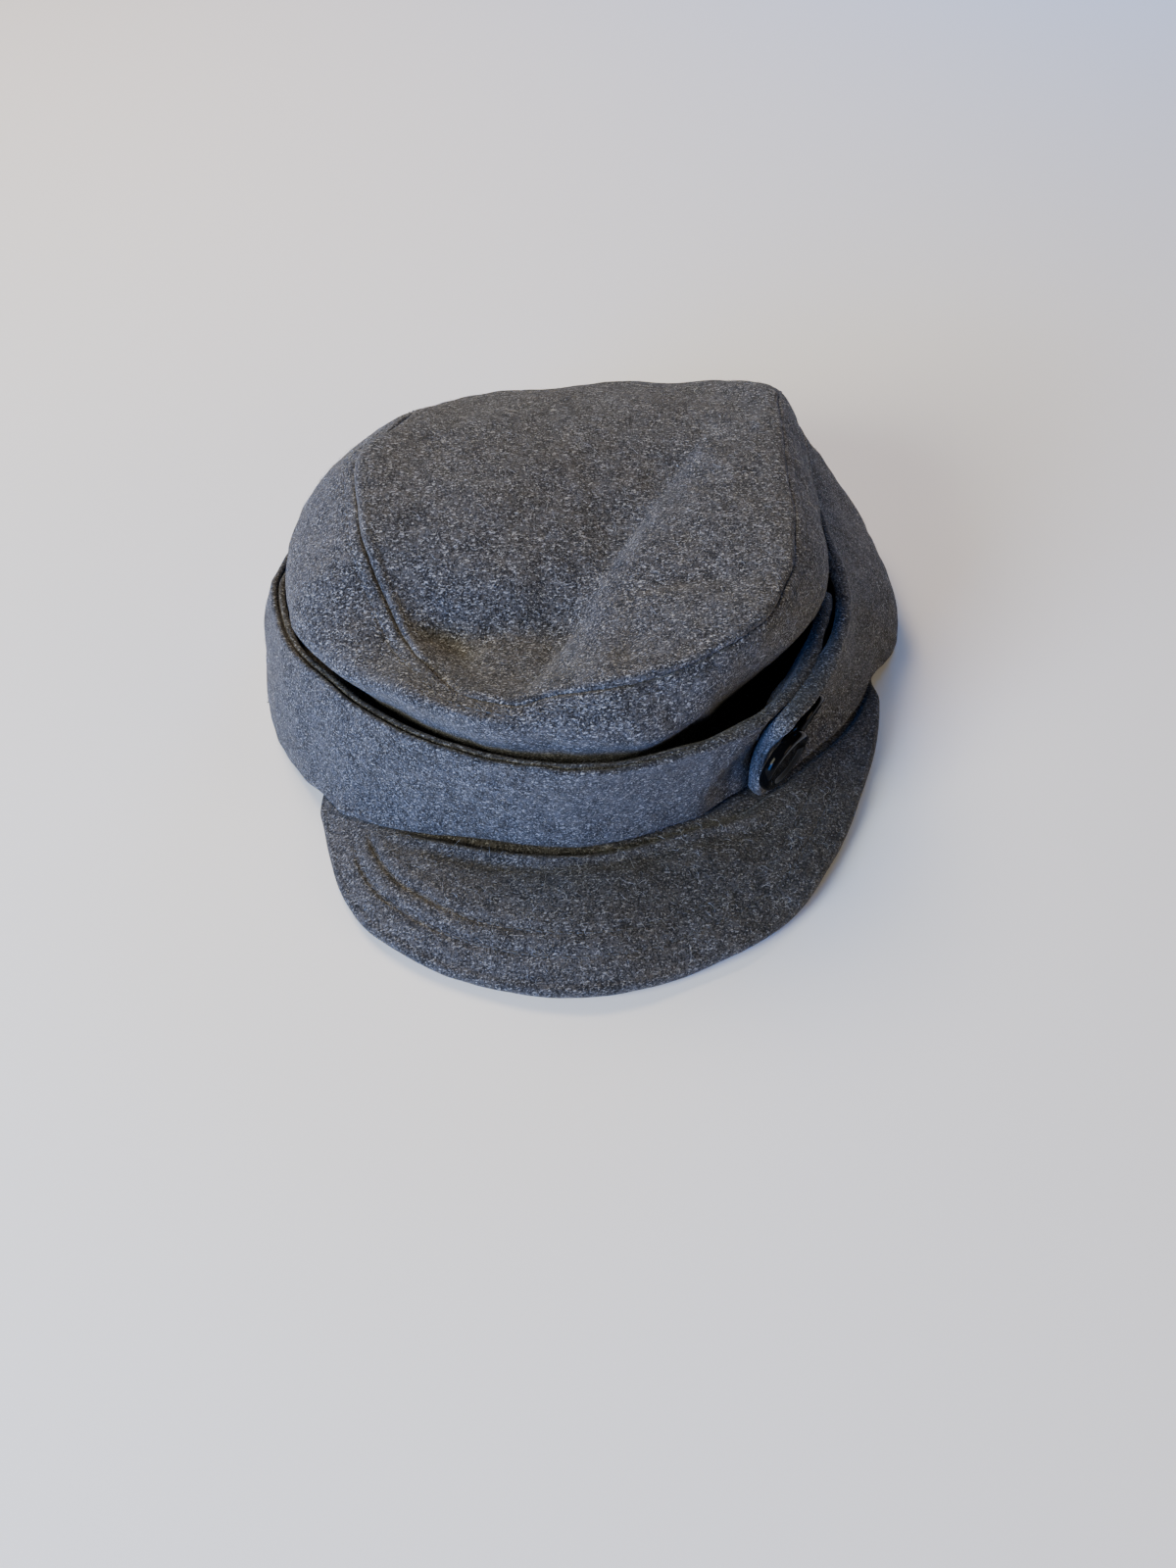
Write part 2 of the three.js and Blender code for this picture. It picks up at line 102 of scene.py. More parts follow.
# Outer side of the crown above its hem: radius of the waist, then radius and height of the
# bulge over the rim and of the top seam, and the height of the top panel at its shoulder
CROWN = table("angle waist bulge bulge_z seam seam_z top_z", [
    (-150, 85.6, 84.0, 50, 72.5, 65, 74),
    (-120, 86.2, 88.2, 56.5, 65.5, 78, 81),
    (-100, 88.6, 92.4, 56.5, 71.0, 80, 82),
    (-87, 89.5, 94.6, 56, 70.1, 79, 82),
    (-73, 88.0, 97.0, 56, 72.3, 76.5, 80.5),
    (-61, 86.6, 95.2, 56.5, 73.6, 67.5, 77),
    (-52, 86.0, 93.8, 58.5, 76.2, 62.5, 74.5),
    (-44, 86.0, 92.4, 62.5, 79.8, 62.7, 73.5),
    (-31, 86.0, 93.4, 64.5, 86.2, 64.5, 72),
    (-22, 85.5, 91.8, 63, 86.5, 66, 72.5),
    (-15, 85.0, 89.0, 62, 83.4, 68.4, 74),
    (0, 83.0, 88.5, 56, 82.0, 71.5, 78),
    (30, 64.0, 77.0, 57, 77.3, 75, 80),
    (45, 61.0, 76.3, 57, 71.0, 75.5, 80.5),
    (62, 69.0, 75.6, 56.5, 64.2, 75.5, 80.5),
    (85, 72.0, 73.0, 55.5, 60.0, 76, 81),
    (105, 73.5, 78.5, 54, 66.0, 75.5, 80),
    (115, 79.5, 86.0, 54, 73.0, 74, 78),
    (125, 86.2, 92.0, 53, 81.5, 71, 76),
    (137, 88.5, 92.0, 52, 81.0, 66, 73.5),
    (152, 87.0, 87.0, 50, 77.0, 61, 71),
    (180, 85.2, 83.2, 48, 72.5, 60, 71),
])

# How far the peak reaches out from the hem of the band
PEAK = table("angle reach", [
    (-62, 0.6),
    (-56, 5.9),
    (-50, 14.6),
    (-43, 26.0),
    (-36, 34.4),
    (-24, 41.0),
    (-8, 44.2),
    (10, 41.4),
    (25, 31.2),
    (40, 21.2),
    (55, 11.6),
    (68, 5.4),
    (77, 0.8),
])

# How deep the top seam's groove shows, and the row of stitches beside it on the side panel
SEAM = table("angle groove stitches", [
    (-150, 0.35, 0.15),
    (-110, 0.35, 0.15),
    (-85, 0.6, 0.5),
    (-62, 1.0, 1.0),
    (-48, 0.7, 0.6),
    (-35, 0.25, 0.1),
    (-18, 0.6, 0.2),
    (5, 0.9, 0.35),
    (30, 0.7, 0.3),
    (60, 0.4, 0.15),
    (100, 0.3, 0.1),
    (150, 0.3, 0.1),
])

# Folds pressed into the top: middle, turn, half length, half width of its left and right slope,
# depth, and how round its bottom is
FOLDS = [
    dict(name="valley across the front left", x=-46, y=-46, turn=-6, length=34, left=8, right=17,
         depth=10.0, round=0.25),
    dict(name="diagonal valley", x=3, y=-29, turn=54, length=52, left=20, right=6, depth=6.2,
         round=0.2),
    dict(name="its steep lower end", x=-18, y=-47, turn=84, length=20, left=8, right=10, depth=3.2,
         round=0.25),
    dict(name="wide sag along it", x=8, y=-20, turn=55, length=58, left=30, right=28, depth=6.5,
         round=0.3),
    dict(name="right hollow", x=20, y=-47.5, turn=-5, length=20, left=8, right=6, depth=3.4,
         round=0.3),
    dict(name="front pleat", x=1, y=-74, turn=82, length=18, left=6, right=10, depth=3.2,
         round=0.35),
]

# Buttons: middle of the outer face, the way it faces round the cap, how far it looks down
BUTTONS = [
    dict(node="button_front", x=45.6, y=-85.2, z=35.0, facing=42, down=7, shank=1.6),
    dict(node="button_rear", x=55.8, y=-68.1, z=31.2, facing=49, down=15, shank=1.2),
]
BUTTON_RADIUS = 10.2
BUTTON_THICKNESS = 3.4
BUTTON_EDGE = 1.1           # depth of the button's round edge, inwards from its radius
STEM, STEM_BEVEL = 3.2, 0.6    # radius of the stem behind it, and width of its slanted ends
DISH, DISH_DEPTH = 3.4, 0.9    # width of the slope round the dished face, and its depth

# The cap's middle in the shared frame: the band reaches RING's hem out at the back and at -X
band_low, band_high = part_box("band")
BASE = np.array([
    band_low.x + RING["hem"][RING["angle"] == -90][0] * MM,
    band_high.y - RING["hem"][RING["angle"] == -180][0] * MM,
    band_low.z,
])


# Helpers for surfaces

def smoothstep(x, low, high):
    """0 below low, 1 above high, and a smooth cubic between."""
    t = np.clip((np.asarray(x, float) - low) / (high - low), 0, 1)
    return t * t * (3 - 2 * t)


def column(rows, key, angle, wraps=True):
    """A cubic through one column of a table. Its slope at a row is the harmonic mean of the
    slopes on the two sides, so it doesn't overshoot. A table that goes all round wraps."""
    a, v = rows["angle"], rows[key]
    angle = np.asarray(angle, float)
    if wraps:
        a = np.concatenate([a - 360, a, a + 360])
        v = np.tile(v, 3)
        angle = (angle + 180) % 360 - 180
    slope = np.diff(v) / np.diff(a)
    before, after = slope[:-1], slope[1:]
    same = before * after > 0
    mean = np.where(same, 2 * before * after / np.where(same, before + after, 1), 0)
    tangent = np.concatenate([[0], mean, [0]])
    i = np.clip(np.searchsorted(a, angle, side="right") - 1, 0, len(a) - 2)
    span = a[i + 1] - a[i]
    t = np.clip((angle - a[i]) / span, 0, 1)
    return ((2 * t**3 - 3 * t**2 + 1) * v[i] + (t**3 - 2 * t**2 + t) * span * tangent[i]
            + (3 * t**2 - 2 * t**3) * v[i + 1] + (t**3 - t**2) * span * tangent[i + 1])


def ring(key, angle):
    """A radius or height of the band's outer face at an angle."""
    return column(RING, key, angle)


def peak_reach(angle):
    """How far the peak reaches out from the hem of the band at an angle."""
    return column(PEAK, "reach", angle, False)


def polar(radius, angle, z):
    """The point at a radius, an angle in degrees from -Y towards +X, and a height."""
    a = np.radians(angle)
    return np.stack(np.broadcast_arrays(radius * np.sin(a), -radius * np.cos(a), z), -1)


def facing_way(azimuth, elevation):
    """The unit direction at an azimuth round from -Y towards +X and an elevation above level."""
    e = np.radians(elevation)
    return polar(np.cos(e), azimuth, np.sin(e))


def through(points, level):
    """A smooth curve through points[:, k] at the whole levels k: a cubic between two points whose
    tangents come from the square roots of the distances to their neighbours."""
    first = 2 * points[:, :1] - points[:, 1:2]
    last = 2 * points[:, -1:] - points[:, -2:-1]
    p = np.concatenate([first, points, last], 1)
    k = np.clip(np.floor(level).astype(int), 0, points.shape[1] - 2)
    t = (level - k)[None, :, None]
    a, b, c, d = (p[:, k + i] for i in range(4))

    def root(u, v):
        """Square root of the distance between two points, and never zero."""
        return np.maximum(np.linalg.norm(v - u, axis=-1, keepdims=True), 1e-6) ** 0.5

    ab, bc, cd = root(a, b), root(b, c), root(c, d)
    start = ((b - a) / ab - (c - a) / (ab + bc) + (c - b) / bc) * bc
    end = ((c - b) / bc - (d - b) / (bc + cd) + (d - c) / cd) * bc
    return ((2 * t**3 - 3 * t**2 + 1) * b + (t**3 - 2 * t**2 + t) * start
            + (3 * t**2 - 2 * t**3) * c + (t**3 - t**2) * end)


def normals(grid, wraps):
    """Unit normals of a grid of points, from the differences along its two directions."""
    if wraps:
        along = np.roll(grid, -1, 0) - np.roll(grid, 1, 0)
    else:
        along = np.gradient(grid, axis=0)
    up = np.gradient(grid, axis=1)
    n = np.cross(along, up)
    return n / np.maximum(np.linalg.norm(n, axis=-1, keepdims=True), 1e-12)


def run(grid):
    """Distance of each point of a grid from the start of its row."""
    steps = np.linalg.norm(np.diff(grid, axis=1), axis=-1)
    return np.concatenate([np.zeros((len(grid), 1)), np.cumsum(steps, 1)], 1)


def bump(x, middle, width):
    """A bell of height 1 and half width width."""
    return np.exp(-((x - middle) / width) ** 2)


PLANE_WAVES = 24
WAVE_SPREAD = (0.6, 1.4)    # their wave numbers, as shares of that of the size asked for


def ripple(points, size, seed):
    """Smooth waves of about one given size in every direction, as a sum of plane waves, with a
    spread of 1."""
    rng = np.random.default_rng(seed)
    k = rng.normal(size=(PLANE_WAVES, 3))
    k /= np.linalg.norm(k, axis=1, keepdims=True)
    k *= (2 * np.pi / size) * rng.uniform(*WAVE_SPREAD, (PLANE_WAVES, 1))
    phase = rng.uniform(0, 2 * np.pi, PLANE_WAVES)
    return np.cos(points @ k.T + phase).sum(-1) * np.sqrt(2 / PLANE_WAVES)


def grid_faces(rows, cols, wrap_rows, wrap_cols):
    """Quads between neighbours of a grid whose points are numbered row by row."""
    i = np.arange(rows if wrap_rows else rows - 1)[:, None]
    j = np.arange(cols if wrap_cols else cols - 1)[None, :]
    i2, j2 = (i + 1) % rows, (j + 1) % cols
    corners = (i * cols + j, i * cols + j2, i2 * cols + j2, i2 * cols + j)
    return np.stack(np.broadcast_arrays(*corners), -1).reshape(-1, 4)


def volume(points, faces):
    """Six times the volume inside the faces, positive where they face out: the sum of the triple
    products of the corners of each triangle of their fans."""
    total = 0.0
    for k in range(1, faces.shape[1] - 1):
        a, b, c = points[faces[:, 0]], points[faces[:, k]], points[faces[:, k + 1]]
        total += np.einsum("ij,ij->", a, np.cross(b, c))
    return total


def closed_piece(name, points, parts, material, node=None):
    """A finished piece from points in millimetres and lists of faces, facing out. It rides on
    the root, and stands for its CAD node if it has one."""
    if sum(volume(points, f) for f in parts) < 0:
        parts = [f[:, ::-1] for f in parts]
    mesh = bpy.data.meshes.new(name)
    faces = [f for part in parts for f in part.tolist()]
    mesh.from_pydata((points * MM + BASE).tolist(), [], faces)
    mesh.polygons.foreach_set("use_smooth", np.ones(len(mesh.polygons), bool))
    mesh.materials.append(material)
    mesh.update()
    piece = bpy.data.objects.new(name, mesh)
    bpy.context.scene.collection.objects.link(piece)
    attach(piece, "root")
    if node:
        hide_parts(node)


def strip_faces(rows, cols):
    """Faces of a strip of closed sections, with a fan over its first and last section. The two
    middles come after the grid's points."""
    sides = grid_faces(rows, cols, False, True)
    j = np.arange(cols)
    first = np.stack([np.full(cols, rows * cols), (j + 1) % cols, j], -1)
    last = np.stack([np.full(cols, rows * cols + 1), (rows - 1) * cols + j,
                     (rows - 1) * cols + (j + 1) % cols], -1)
    return [sides, np.concatenate([first, last])]


def with_ends(grid):
    """The grid's points in one list, and the middles of its first and last section."""
    return np.concatenate([grid.reshape(-1, 3), grid[:1].mean(1), grid[-1:].mean(1)])


# Wool and gloss

FIBRE_SCALE = 2000.0        # per metre: fibres about half a millimetre thick
GRAIN_SCALE = 1750.0
TUFT_SCALE = 260.0
DRIFT_SCALE = 45.0
TINT_SCALE = 700.0
FIBRE_LONG_SHARE = 0.4      # scale along a fibre, as a share of the scale across it
FIBRE_CURL = 0.6            # distortion of the fibres' noise
NAP_DEPTH = 0.0006          # metres, height of the nap in the bump

# Turns of the directions in which the fibres lie, in radians, and the scale of each
FIBRE_LAYS = [
    ((0.3, 0.5, -0.8), FIBRE_SCALE),
    ((0.2, -0.4, 2.6), FIBRE_SCALE),
    ((-0.4, 0.3, 1.5), FIBRE_SCALE * 0.9),
]


def wool_group():
    """Fulled heather wool. Short curly fibres in dark, grey and pale tones lie in every
    direction, some in small tufts, over a slow drift between a cool and a warm grey."""
    group = bpy.data.node_groups.new("heather_wool", "ShaderNodeTree")
    for tone in ("Dark", "Cool", "Warm", "Pale"):
        group.interface.new_socket(name=tone, in_out="INPUT", socket_type="NodeSocketColor")
    group.interface.new_socket(name="Colour", in_out="OUTPUT", socket_type="NodeSocketColor")
    group.interface.new_socket(name="Height", in_out="OUTPUT", socket_type="NodeSocketFloat")
    nodes, links = group.nodes, group.links
    into = nodes.new("NodeGroupInput")
    out = nodes.new("NodeGroupOutput")
    coords = nodes.new("ShaderNodeTexCoord").outputs["Object"]

    def noise(scale, detail, roughness, vector=None, distortion=0.0):
        """Noise of a scale per metre, on the piece's own coordinates or on a vector."""
        node = nodes.new("ShaderNodeTexNoise")
        node.inputs["Scale"].default_value = scale
        node.inputs["Detail"].default_value = detail
        node.inputs["Roughness"].default_value = roughness
        node.inputs["Distortion"].default_value = distortion
        links.new(vector or coords, node.inputs["Vector"])
        return node.outputs["Fac"]

    def math_node(kind, a, b):
        """One sum, product or maximum of two outputs or numbers."""
        node = nodes.new("ShaderNodeMath")
        node.operation = kind
        for k, value in enumerate((a, b)):
            if isinstance(value, (int, float)):
                node.inputs[k].default_value = value
            else:
                links.new(value, node.inputs[k])
        return node.outputs[0]

    def remap(value, low, high):
        """0 below low, 1 above high, and smooth between."""
        node = nodes.new("ShaderNodeMapRange")
        node.interpolation_type = "SMOOTHSTEP"
        links.new(value, node.inputs["Value"])
        node.inputs["From Min"].default_value = low
        node.inputs["From Max"].default_value = high
        return node.outputs["Result"]

    def mix(fac, a, b):
        """Colour a where the factor is 0 and colour b where it is 1."""
        node = nodes.new("ShaderNodeMix")
        node.data_type = "RGBA"
        links.new(fac, node.inputs["Factor"])
        links.new(a, node.inputs[6])
        links.new(b, node.inputs[7])
        return node.outputs[2]

    def streaks(turn, scale):
        """Fibres along one direction: noise squeezed across it."""
        mapping = nodes.new("ShaderNodeMapping")
        mapping.inputs["Rotation"].default_value = turn
        mapping.inputs["Scale"].default_value = (FIBRE_LONG_SHARE, 1.0, 1.0)
        links.new(coords, mapping.inputs["Vector"])
        return noise(scale, 1.0, 0.5, mapping.outputs["Vector"], FIBRE_CURL)

    fibres = streaks(*FIBRE_LAYS[0])
    for lay in FIBRE_LAYS[1:]:
        fibres = math_node("MAXIMUM", fibres, streaks(*lay))
    grain = noise(GRAIN_SCALE, 3.0, 0.7)
    tufts = noise(TUFT_SCALE, 3.0, 0.55)
    drift = noise(DRIFT_SCALE, 2.0, 0.5)
    tint = noise(TINT_SCALE, 2.0, 0.6)

    warmth = math_node("ADD", tint, math_node("MULTIPLY", drift, 0.35))
    base = mix(remap(warmth, 0.5, 0.85), into.outputs["Cool"], into.outputs["Warm"])
    clumps = math_node("MULTIPLY", math_node("SUBTRACT", tufts, 0.5), 0.35)
    shade = math_node("ADD", grain, clumps)
    body = mix(remap(shade, 0.38, 0.6), into.outputs["Dark"], base)
    pale = math_node("MULTIPLY", remap(fibres, 0.6, 0.74), remap(grain, 0.42, 0.56))
    links.new(mix(pale, body, into.outputs["Pale"]), out.inputs["Colour"])
    height = math_node("ADD", math_node("MULTIPLY", grain, 0.6), math_node("MULTIPLY", fibres, 0.4))
    links.new(math_node("ADD", height, math_node("MULTIPLY", tufts, 0.5)), out.inputs["Height"])
    return group


def new_material(name):
    """A material, and its nodes, links and shader."""
    material = bpy.data.materials.new(name)
    material.use_nodes = True
    tree = material.node_tree
    return material, tree.nodes, tree.links, tree.nodes["Principled BSDF"]


def vary(nodes, links, target, scale, low, high, noise_range=(0.0, 1.0)):
    """An input that goes from low to high with noise of a scale per metre, over a range of the
    noise."""
    coords = nodes.new("ShaderNodeTexCoord")
    noise = nodes.new("ShaderNodeTexNoise")
    noise.inputs["Scale"].default_value = scale
    links.new(coords.outputs["Object"], noise.inputs["Vector"])
    spread = nodes.new("ShaderNodeMapRange")
    ends = zip(("From Min", "From Max", "To Min", "To Max"), (*noise_range, low, high))
    for key, value in ends:
        spread.inputs[key].default_value = value
    links.new(noise.outputs["Fac"], spread.inputs["Value"])
    links.new(spread.outputs["Result"], target)


def wool(name, group, dark, cool, warm, pale):
    """A wool cloth: the heather group's colour and nap, rough, with the soft sheen of its fuzz."""
    material, nodes, links, shader = new_material(name)
    shader.inputs["Roughness"].default_value = 0.95
    shader.inputs["Specular IOR Level"].default_value = 0.15
    shader.inputs["Sheen Weight"].default_value = 0.08
    shader.inputs["Sheen Roughness"].default_value = 0.6
    cloth = nodes.new("ShaderNodeGroup")
    cloth.node_tree = group
    for key, value in (("Dark", dark), ("Cool", cool), ("Warm", warm), ("Pale", pale)):
        cloth.inputs[key].default_value = (*value, 1)
    links.new(cloth.outputs["Colour"], shader.inputs["Base Color"])
    nap = nodes.new("ShaderNodeBump")
    nap.inputs["Distance"].default_value = NAP_DEPTH
    nap.inputs["Strength"].default_value = 0.8
    links.new(cloth.outputs["Height"], nap.inputs["Height"])
    links.new(nap.outputs["Normal"], shader.inputs["Normal"])
    return material


WEAR_SCALE = 300            # per metre: patches of wear of about 3 mm
THREAD_SCALE = 500          # changes of tone along the thread
STRAY_SCALE = 400           # changes of tone from one loose fibre to the next


def gloss():
    """Polished black resin under a thin clear coat, with faint patches of wear in its gloss."""
    material, nodes, links, shader = new_material("black_gloss")
    shader.inputs["Base Color"].default_value = (0.002, 0.002, 0.0022, 1)
    shader.inputs["IOR"].default_value = 1.12
    shader.inputs["Coat Weight"].default_value = 0.12
    shader.inputs["Coat IOR"].default_value = 1.25
    shader.inputs["Coat Roughness"].default_value = 0.04
    vary(nodes, links, shader.inputs["Roughness"], WEAR_SCALE, 0.02, 0.06)
    return material


def cotton():
    """Dark grey sewing thread: a slight change of tone along it."""
    material, nodes, links, shader = new_material("thread")
    shader.inputs["Roughness"].default_value = 0.7
    vary(nodes, links, shader.inputs["Base Color"], THREAD_SCALE, 0.03, 0.075)
    return material


def stray_fibres():
    """Single fibres that have come loose from the wool, from dark grey to pale."""
    material, nodes, links, shader = new_material("stray_fibre")
    shader.inputs["Roughness"].default_value = 0.6
    vary(nodes, links, shader.inputs["Base Color"], STRAY_SCALE, 0.08, 0.55, (0.35, 0.65))
    return material


heather = wool_group()
crown_wool = wool("crown_wool", heather, dark=(0.007, 0.007, 0.0075), cool=(0.067, 0.069, 0.077),
                  warm=(0.069, 0.063, 0.058), pale=(0.36, 0.365, 0.38))
band_wool = wool("band_wool", heather, dark=(0.008, 0.008, 0.0088), cool=(0.064, 0.066, 0.075),
                 warm=(0.065, 0.06, 0.056), pale=(0.31, 0.32, 0.34))
# The peak's wool has darker, less blue tones than the crown's: painted shade, standing in for the
# cap's shadow on the peak
visor_wool = wool("visor_wool", heather, dark=(0.009, 0.009, 0.0092), cool=(0.06, 0.059, 0.062),
                  warm=(0.064, 0.058, 0.052), pale=(0.25, 0.25, 0.255))
black_gloss = gloss()
thread = cotton()
fibre = stray_fibres()


# Crown

ROUND = 480                 # steps round the crown
WAVES = 6                   # waves round the top panel's ring of shoulder heights
LAP_FADE = 20               # degrees past its start over which the lap's layer thins out


def lap_depth(angle):
    """How much of a second layer of band lies inside the outer one at an angle, 0 to 1."""
    start = smoothstep(angle, LAP_START, LAP_START + LAP_FADE)
    return smoothstep(angle, LAP_FREE, LAP_END) * (1 - start)


def turned(angle):
    """The same angle, from -180 up to 180."""
    return (np.asarray(angle, float) + 180) % 360 - 180


def top_height(u, angle):
    """Height of the top panel, u from 0 at its middle to 1 at its shoulder: a smooth film
    spanned by the ring of shoulder heights, as waves that fade inwards, and a dome."""
    ring_angle = np.arange(0, 360, 6)
    ring_z = column(CROWN, "top_z", ring_angle)
    mean = ring_z.mean()
    z = mean + (CROWN_HEIGHT - mean) * (1 - u**2) + 0 * np.asarray(angle, float)
    for k in range(1, WAVES + 1):
        there, here = np.radians(k * ring_angle), np.radians(k * angle)
        cos, sin = 2 * np.mean(ring_z * np.cos(there)), 2 * np.mean(ring_z * np.sin(there))
        z = z + u**k * (cos * np.cos(here) + sin * np.sin(here))
    return z


def fold_depth(x, y):
    """Depth of the folds at a point of the top. Each is a valley whose slopes fall off at their
    own widths from its line, and which fades along it."""
    depth = 0
    for f in FOLDS:
        c, s = np.cos(np.radians(f["turn"])), np.sin(np.radians(f["turn"]))
        along = (x - f["x"]) * c + (y - f["y"]) * s
        across = (y - f["y"]) * c - (x - f["x"]) * s
        share = across / np.where(across > 0, f["left"], f["right"])
        slope = np.exp(f["round"] - np.hypot(share, f["round"]))
        depth = depth + f["depth"] * slope * np.exp(-((along / f["length"]) ** 2))
    return depth


FOLDS_FADE = (2.95, 3.7)    # levels between which the folds come in


def crown(angle, level):
    """Outer side of the crown, angles by levels: 0 at the hem, 1 at the waist, 2 at the bulge,
    3 at the top seam, 4 at the shoulder, 5 half way in, 6 in the middle and 7 half way out
    again. The folds press it down inside the seam."""
    def c(key, a=angle):
        """One column of the crown's table at the angles."""
        return column(CROWN, key, a)

    far = turned(angle + 180)
    tuck = BAND + 2 * CLEAR + LAP_DRAW * lap_depth(turned(angle)) * (BAND + CLEAR)
    section = np.stack([
        polar(ring("hem", angle) - tuck, angle, ring("hem_z", angle) + HEM_LIFT),
        polar(c("waist"), angle, WAIST_HEIGHT - WAIST_DROP * lap_depth(turned(angle))),
        polar(c("bulge"), angle, c("bulge_z")),
        polar(c("seam"), angle, c("seam_z")),
        polar(SHOULDER * c("seam"), angle, top_height(1, angle)),
        polar(0.5 * SHOULDER * c("seam"), angle, top_height(0.5, angle)),
        polar(0 * angle, angle, CROWN_HEIGHT),
        polar(0.5 * SHOULDER * c("seam", far), far, top_height(0.5, far)),
    ], 1)
    p = through(section, level)
    p[..., 2] -= smoothstep(level, *FOLDS_FADE) * fold_depth(p[..., 0], p[..., 1])
    return p


STITCH_ROW = 4.4            # distance of the topstitching from the top seam, on the side panel
STITCH_DIP = 0.45           # how deep a full row of stitches draws in the crown

# Puffs beside the top seam on its two panels: height, distance from the seam, half width
TOP_PUFF = (0.75, 2.0, 1.5)
SIDE_PUFF = (0.25, 2.4, 1.3)


def puff(d, shape):
    """A soft ridge of a height, at a place and with a half width."""
    height, middle, width = shape
    return height * bump(d, middle, width)


def seam_relief(d, angle, on_top):
    """Height of the cloth at a distance from the top seam. It turns down into the seam and puffs
    up beside it. The side panel also dips along the row of stitches."""
    groove = column(SEAM, "groove", angle)
    turned_in = bump(d, 0, 0.5)
    if on_top:
        return groove * (puff(d, TOP_PUFF) - turned_in)
    row = column(SEAM, "stitches", angle) * bump(d, STITCH_ROW, 0.55)
    return groove * (puff(d, SIDE_PUFF) - turned_in) - STITCH_DIP * row


FELT_WAVES = [(26, 0.28), (9, 0.1)]    # size and height of the waves of soft thick cloth


def felt(points, seed):
    """The unevenness of soft thick cloth: slow waves, and small ones on them."""
    waves = enumerate(FELT_WAVES)
    return sum(height * ripple(points, size, seed + k) for k, (size, height) in waves)


# Seeds of the unevenness of each panel
SIDE_SEED, TOP_SEED, BAND_SEED, BAND_INSIDE_SEED, RIM_SEED, PEAK_SEED = 11, 23, 37, 41, 5, 53

# Pleat in the front of the crown's wall: height, angle and half width of its ridge and its dip
PLEAT = [(0.9, -5, 5), (-1.5, 7, 6)]
PLEAT_DOWN = (1.0, 9, 7)    # how it fades with the distance from the top seam
SEAM_INSIDE = 0.6           # share of a groove's depth by which the inner side gives way


def crown_sheet(angle, level, on_top, seed):
    """Outer and inner side of a crown panel. The top's rows start at the seam, the side's end
    there."""
    smooth = crown(angle, level)
    n = normals(smooth, True)
    d = run(smooth)
    if not on_top:
        d = d[:, -1:] - d
    sewn = seam_relief(d, angle[:, None], on_top)
    relief = felt(smooth, seed)
    if not on_top:
        pleat = sum(puff(angle, shape) for shape in PLEAT)
        relief = relief + pleat[:, None] * puff(d, PLEAT_DOWN)
    outer = smooth + n * (sewn + relief)[..., None]
    inner = smooth - n * (CLOTH - np.minimum(SEAM_INSIDE * sewn, 0))[..., None]
    return outer, inner


around = -180 + 360 * np.arange(ROUND) / ROUND
SEAM_GAP = 0.001            # half the space left open at the top seam, in levels


def make_crown_side():
    """The wall of the crown: a ring of sections from the hem up the outside and down the inside.
    Its rows lie closer near the seam."""
    level = np.concatenate([np.linspace(0, 2.45, 34)[:-1], np.linspace(2.45, 3 - SEAM_GAP, 26)])
    outer, inner = crown_sheet(around, level, False, SIDE_SEED)
    grid = np.concatenate([outer, inner[:, ::-2][:, :-1], inner[:, :1]], 1)
    closed_piece("crown_side_cloth", grid.reshape(-1, 3), [grid_faces(*grid.shape[:2], True, True)],
                 crown_wool, "crown_side")


def make_crown_top():
    """The top panel: two discs of rings from the seam to the middle, joined along the seam and
    closed by a fan in the middle of each. The disc inside has a third of the rings."""
    level = np.concatenate([np.linspace(3 + SEAM_GAP, 3.5, 24)[:-1], np.linspace(3.5, 5.96, 62)])
    outer, inner = crown_sheet(around, level, True, TOP_SEED)
    few = inner[:, ::-1][:, ::3]
    rows = np.concatenate([few, inner[:, :1], outer], 1)
    count = rows.shape[1]
    middle = outer[:, -1].mean(0)
    points = np.concatenate([rows.reshape(-1, 3), [middle, middle - [0, 0, CLOTH]]])
    i = np.arange(ROUND)
    i2 = (i + 1) % ROUND
    top, under = ROUND * count, ROUND * count + 1
    fans = np.concatenate([
        np.stack([i * count + count - 1, np.full(ROUND, top), i2 * count + count - 1], -1),
        np.stack([i * count, i2 * count, np.full(ROUND, under)], -1),
    ])
    closed_piece("crown_top_cloth", points, [grid_faces(ROUND, count, True, False), fans],
                 crown_wool, "crown_top")


# Band

LAP_GAP = 0.14              # the inner layer's rim stands off by this share of a layer more
LAP_GAP_FROM = 0.6          # share of the band's height from which it does
STEEPEST = 1.3              # the band's level thickness is at most this times its real one


def band_outer(angle, height):
    """Outer face of the band at heights from 0 at the hem to 1 at the rim, a quadratic through
    hem, middle and rim. The strip starts inside the lap and ends on top of its own start."""
    hem, mid, rim = (ring(key, angle) for key in ("hem", "mid", "rim"))
    inside = np.where(angle > 0, lap_depth(angle) * (BAND + CLEAR), 0)
    r = hem * (1 - height) * (1 - 2 * height) + 4 * mid * height * (1 - height)
    r = r + rim * height * (2 * height - 1)
    r = r - inside * (1 + LAP_GAP * smoothstep(height, LAP_GAP_FROM, 1))
    z = ring("hem_z", angle) + (ring("rim_z", angle) - ring("hem_z", angle)) * height
    return polar(r, angle, z)


def band_across(angle, height):
    """Thickness of the band measured level: its real one over the slope of the wall."""
    hem, mid, rim = (ring(key, angle) for key in ("hem", "mid", "rim"))
    change = hem * (4 * height - 3) + mid * (4 - 8 * height) + rim * (4 * height - 1)
    slope = change / (ring("rim_z", angle) - ring("hem_z", angle))
    return BAND * np.minimum(np.hypot(1, slope), STEEPEST)


FLARE = 3.6                 # how far the hem is pressed out over the peak at -X
FLARE_SHARE = 0.35          # and at most, as a share of the peak's reach there
FLARE_HEIGHT = 3.4          # height above the hem over which it dies away
FLARE_IN, FLARE_OUT = (-64, -54), (-46, -30)    # angles over which it comes in and goes out


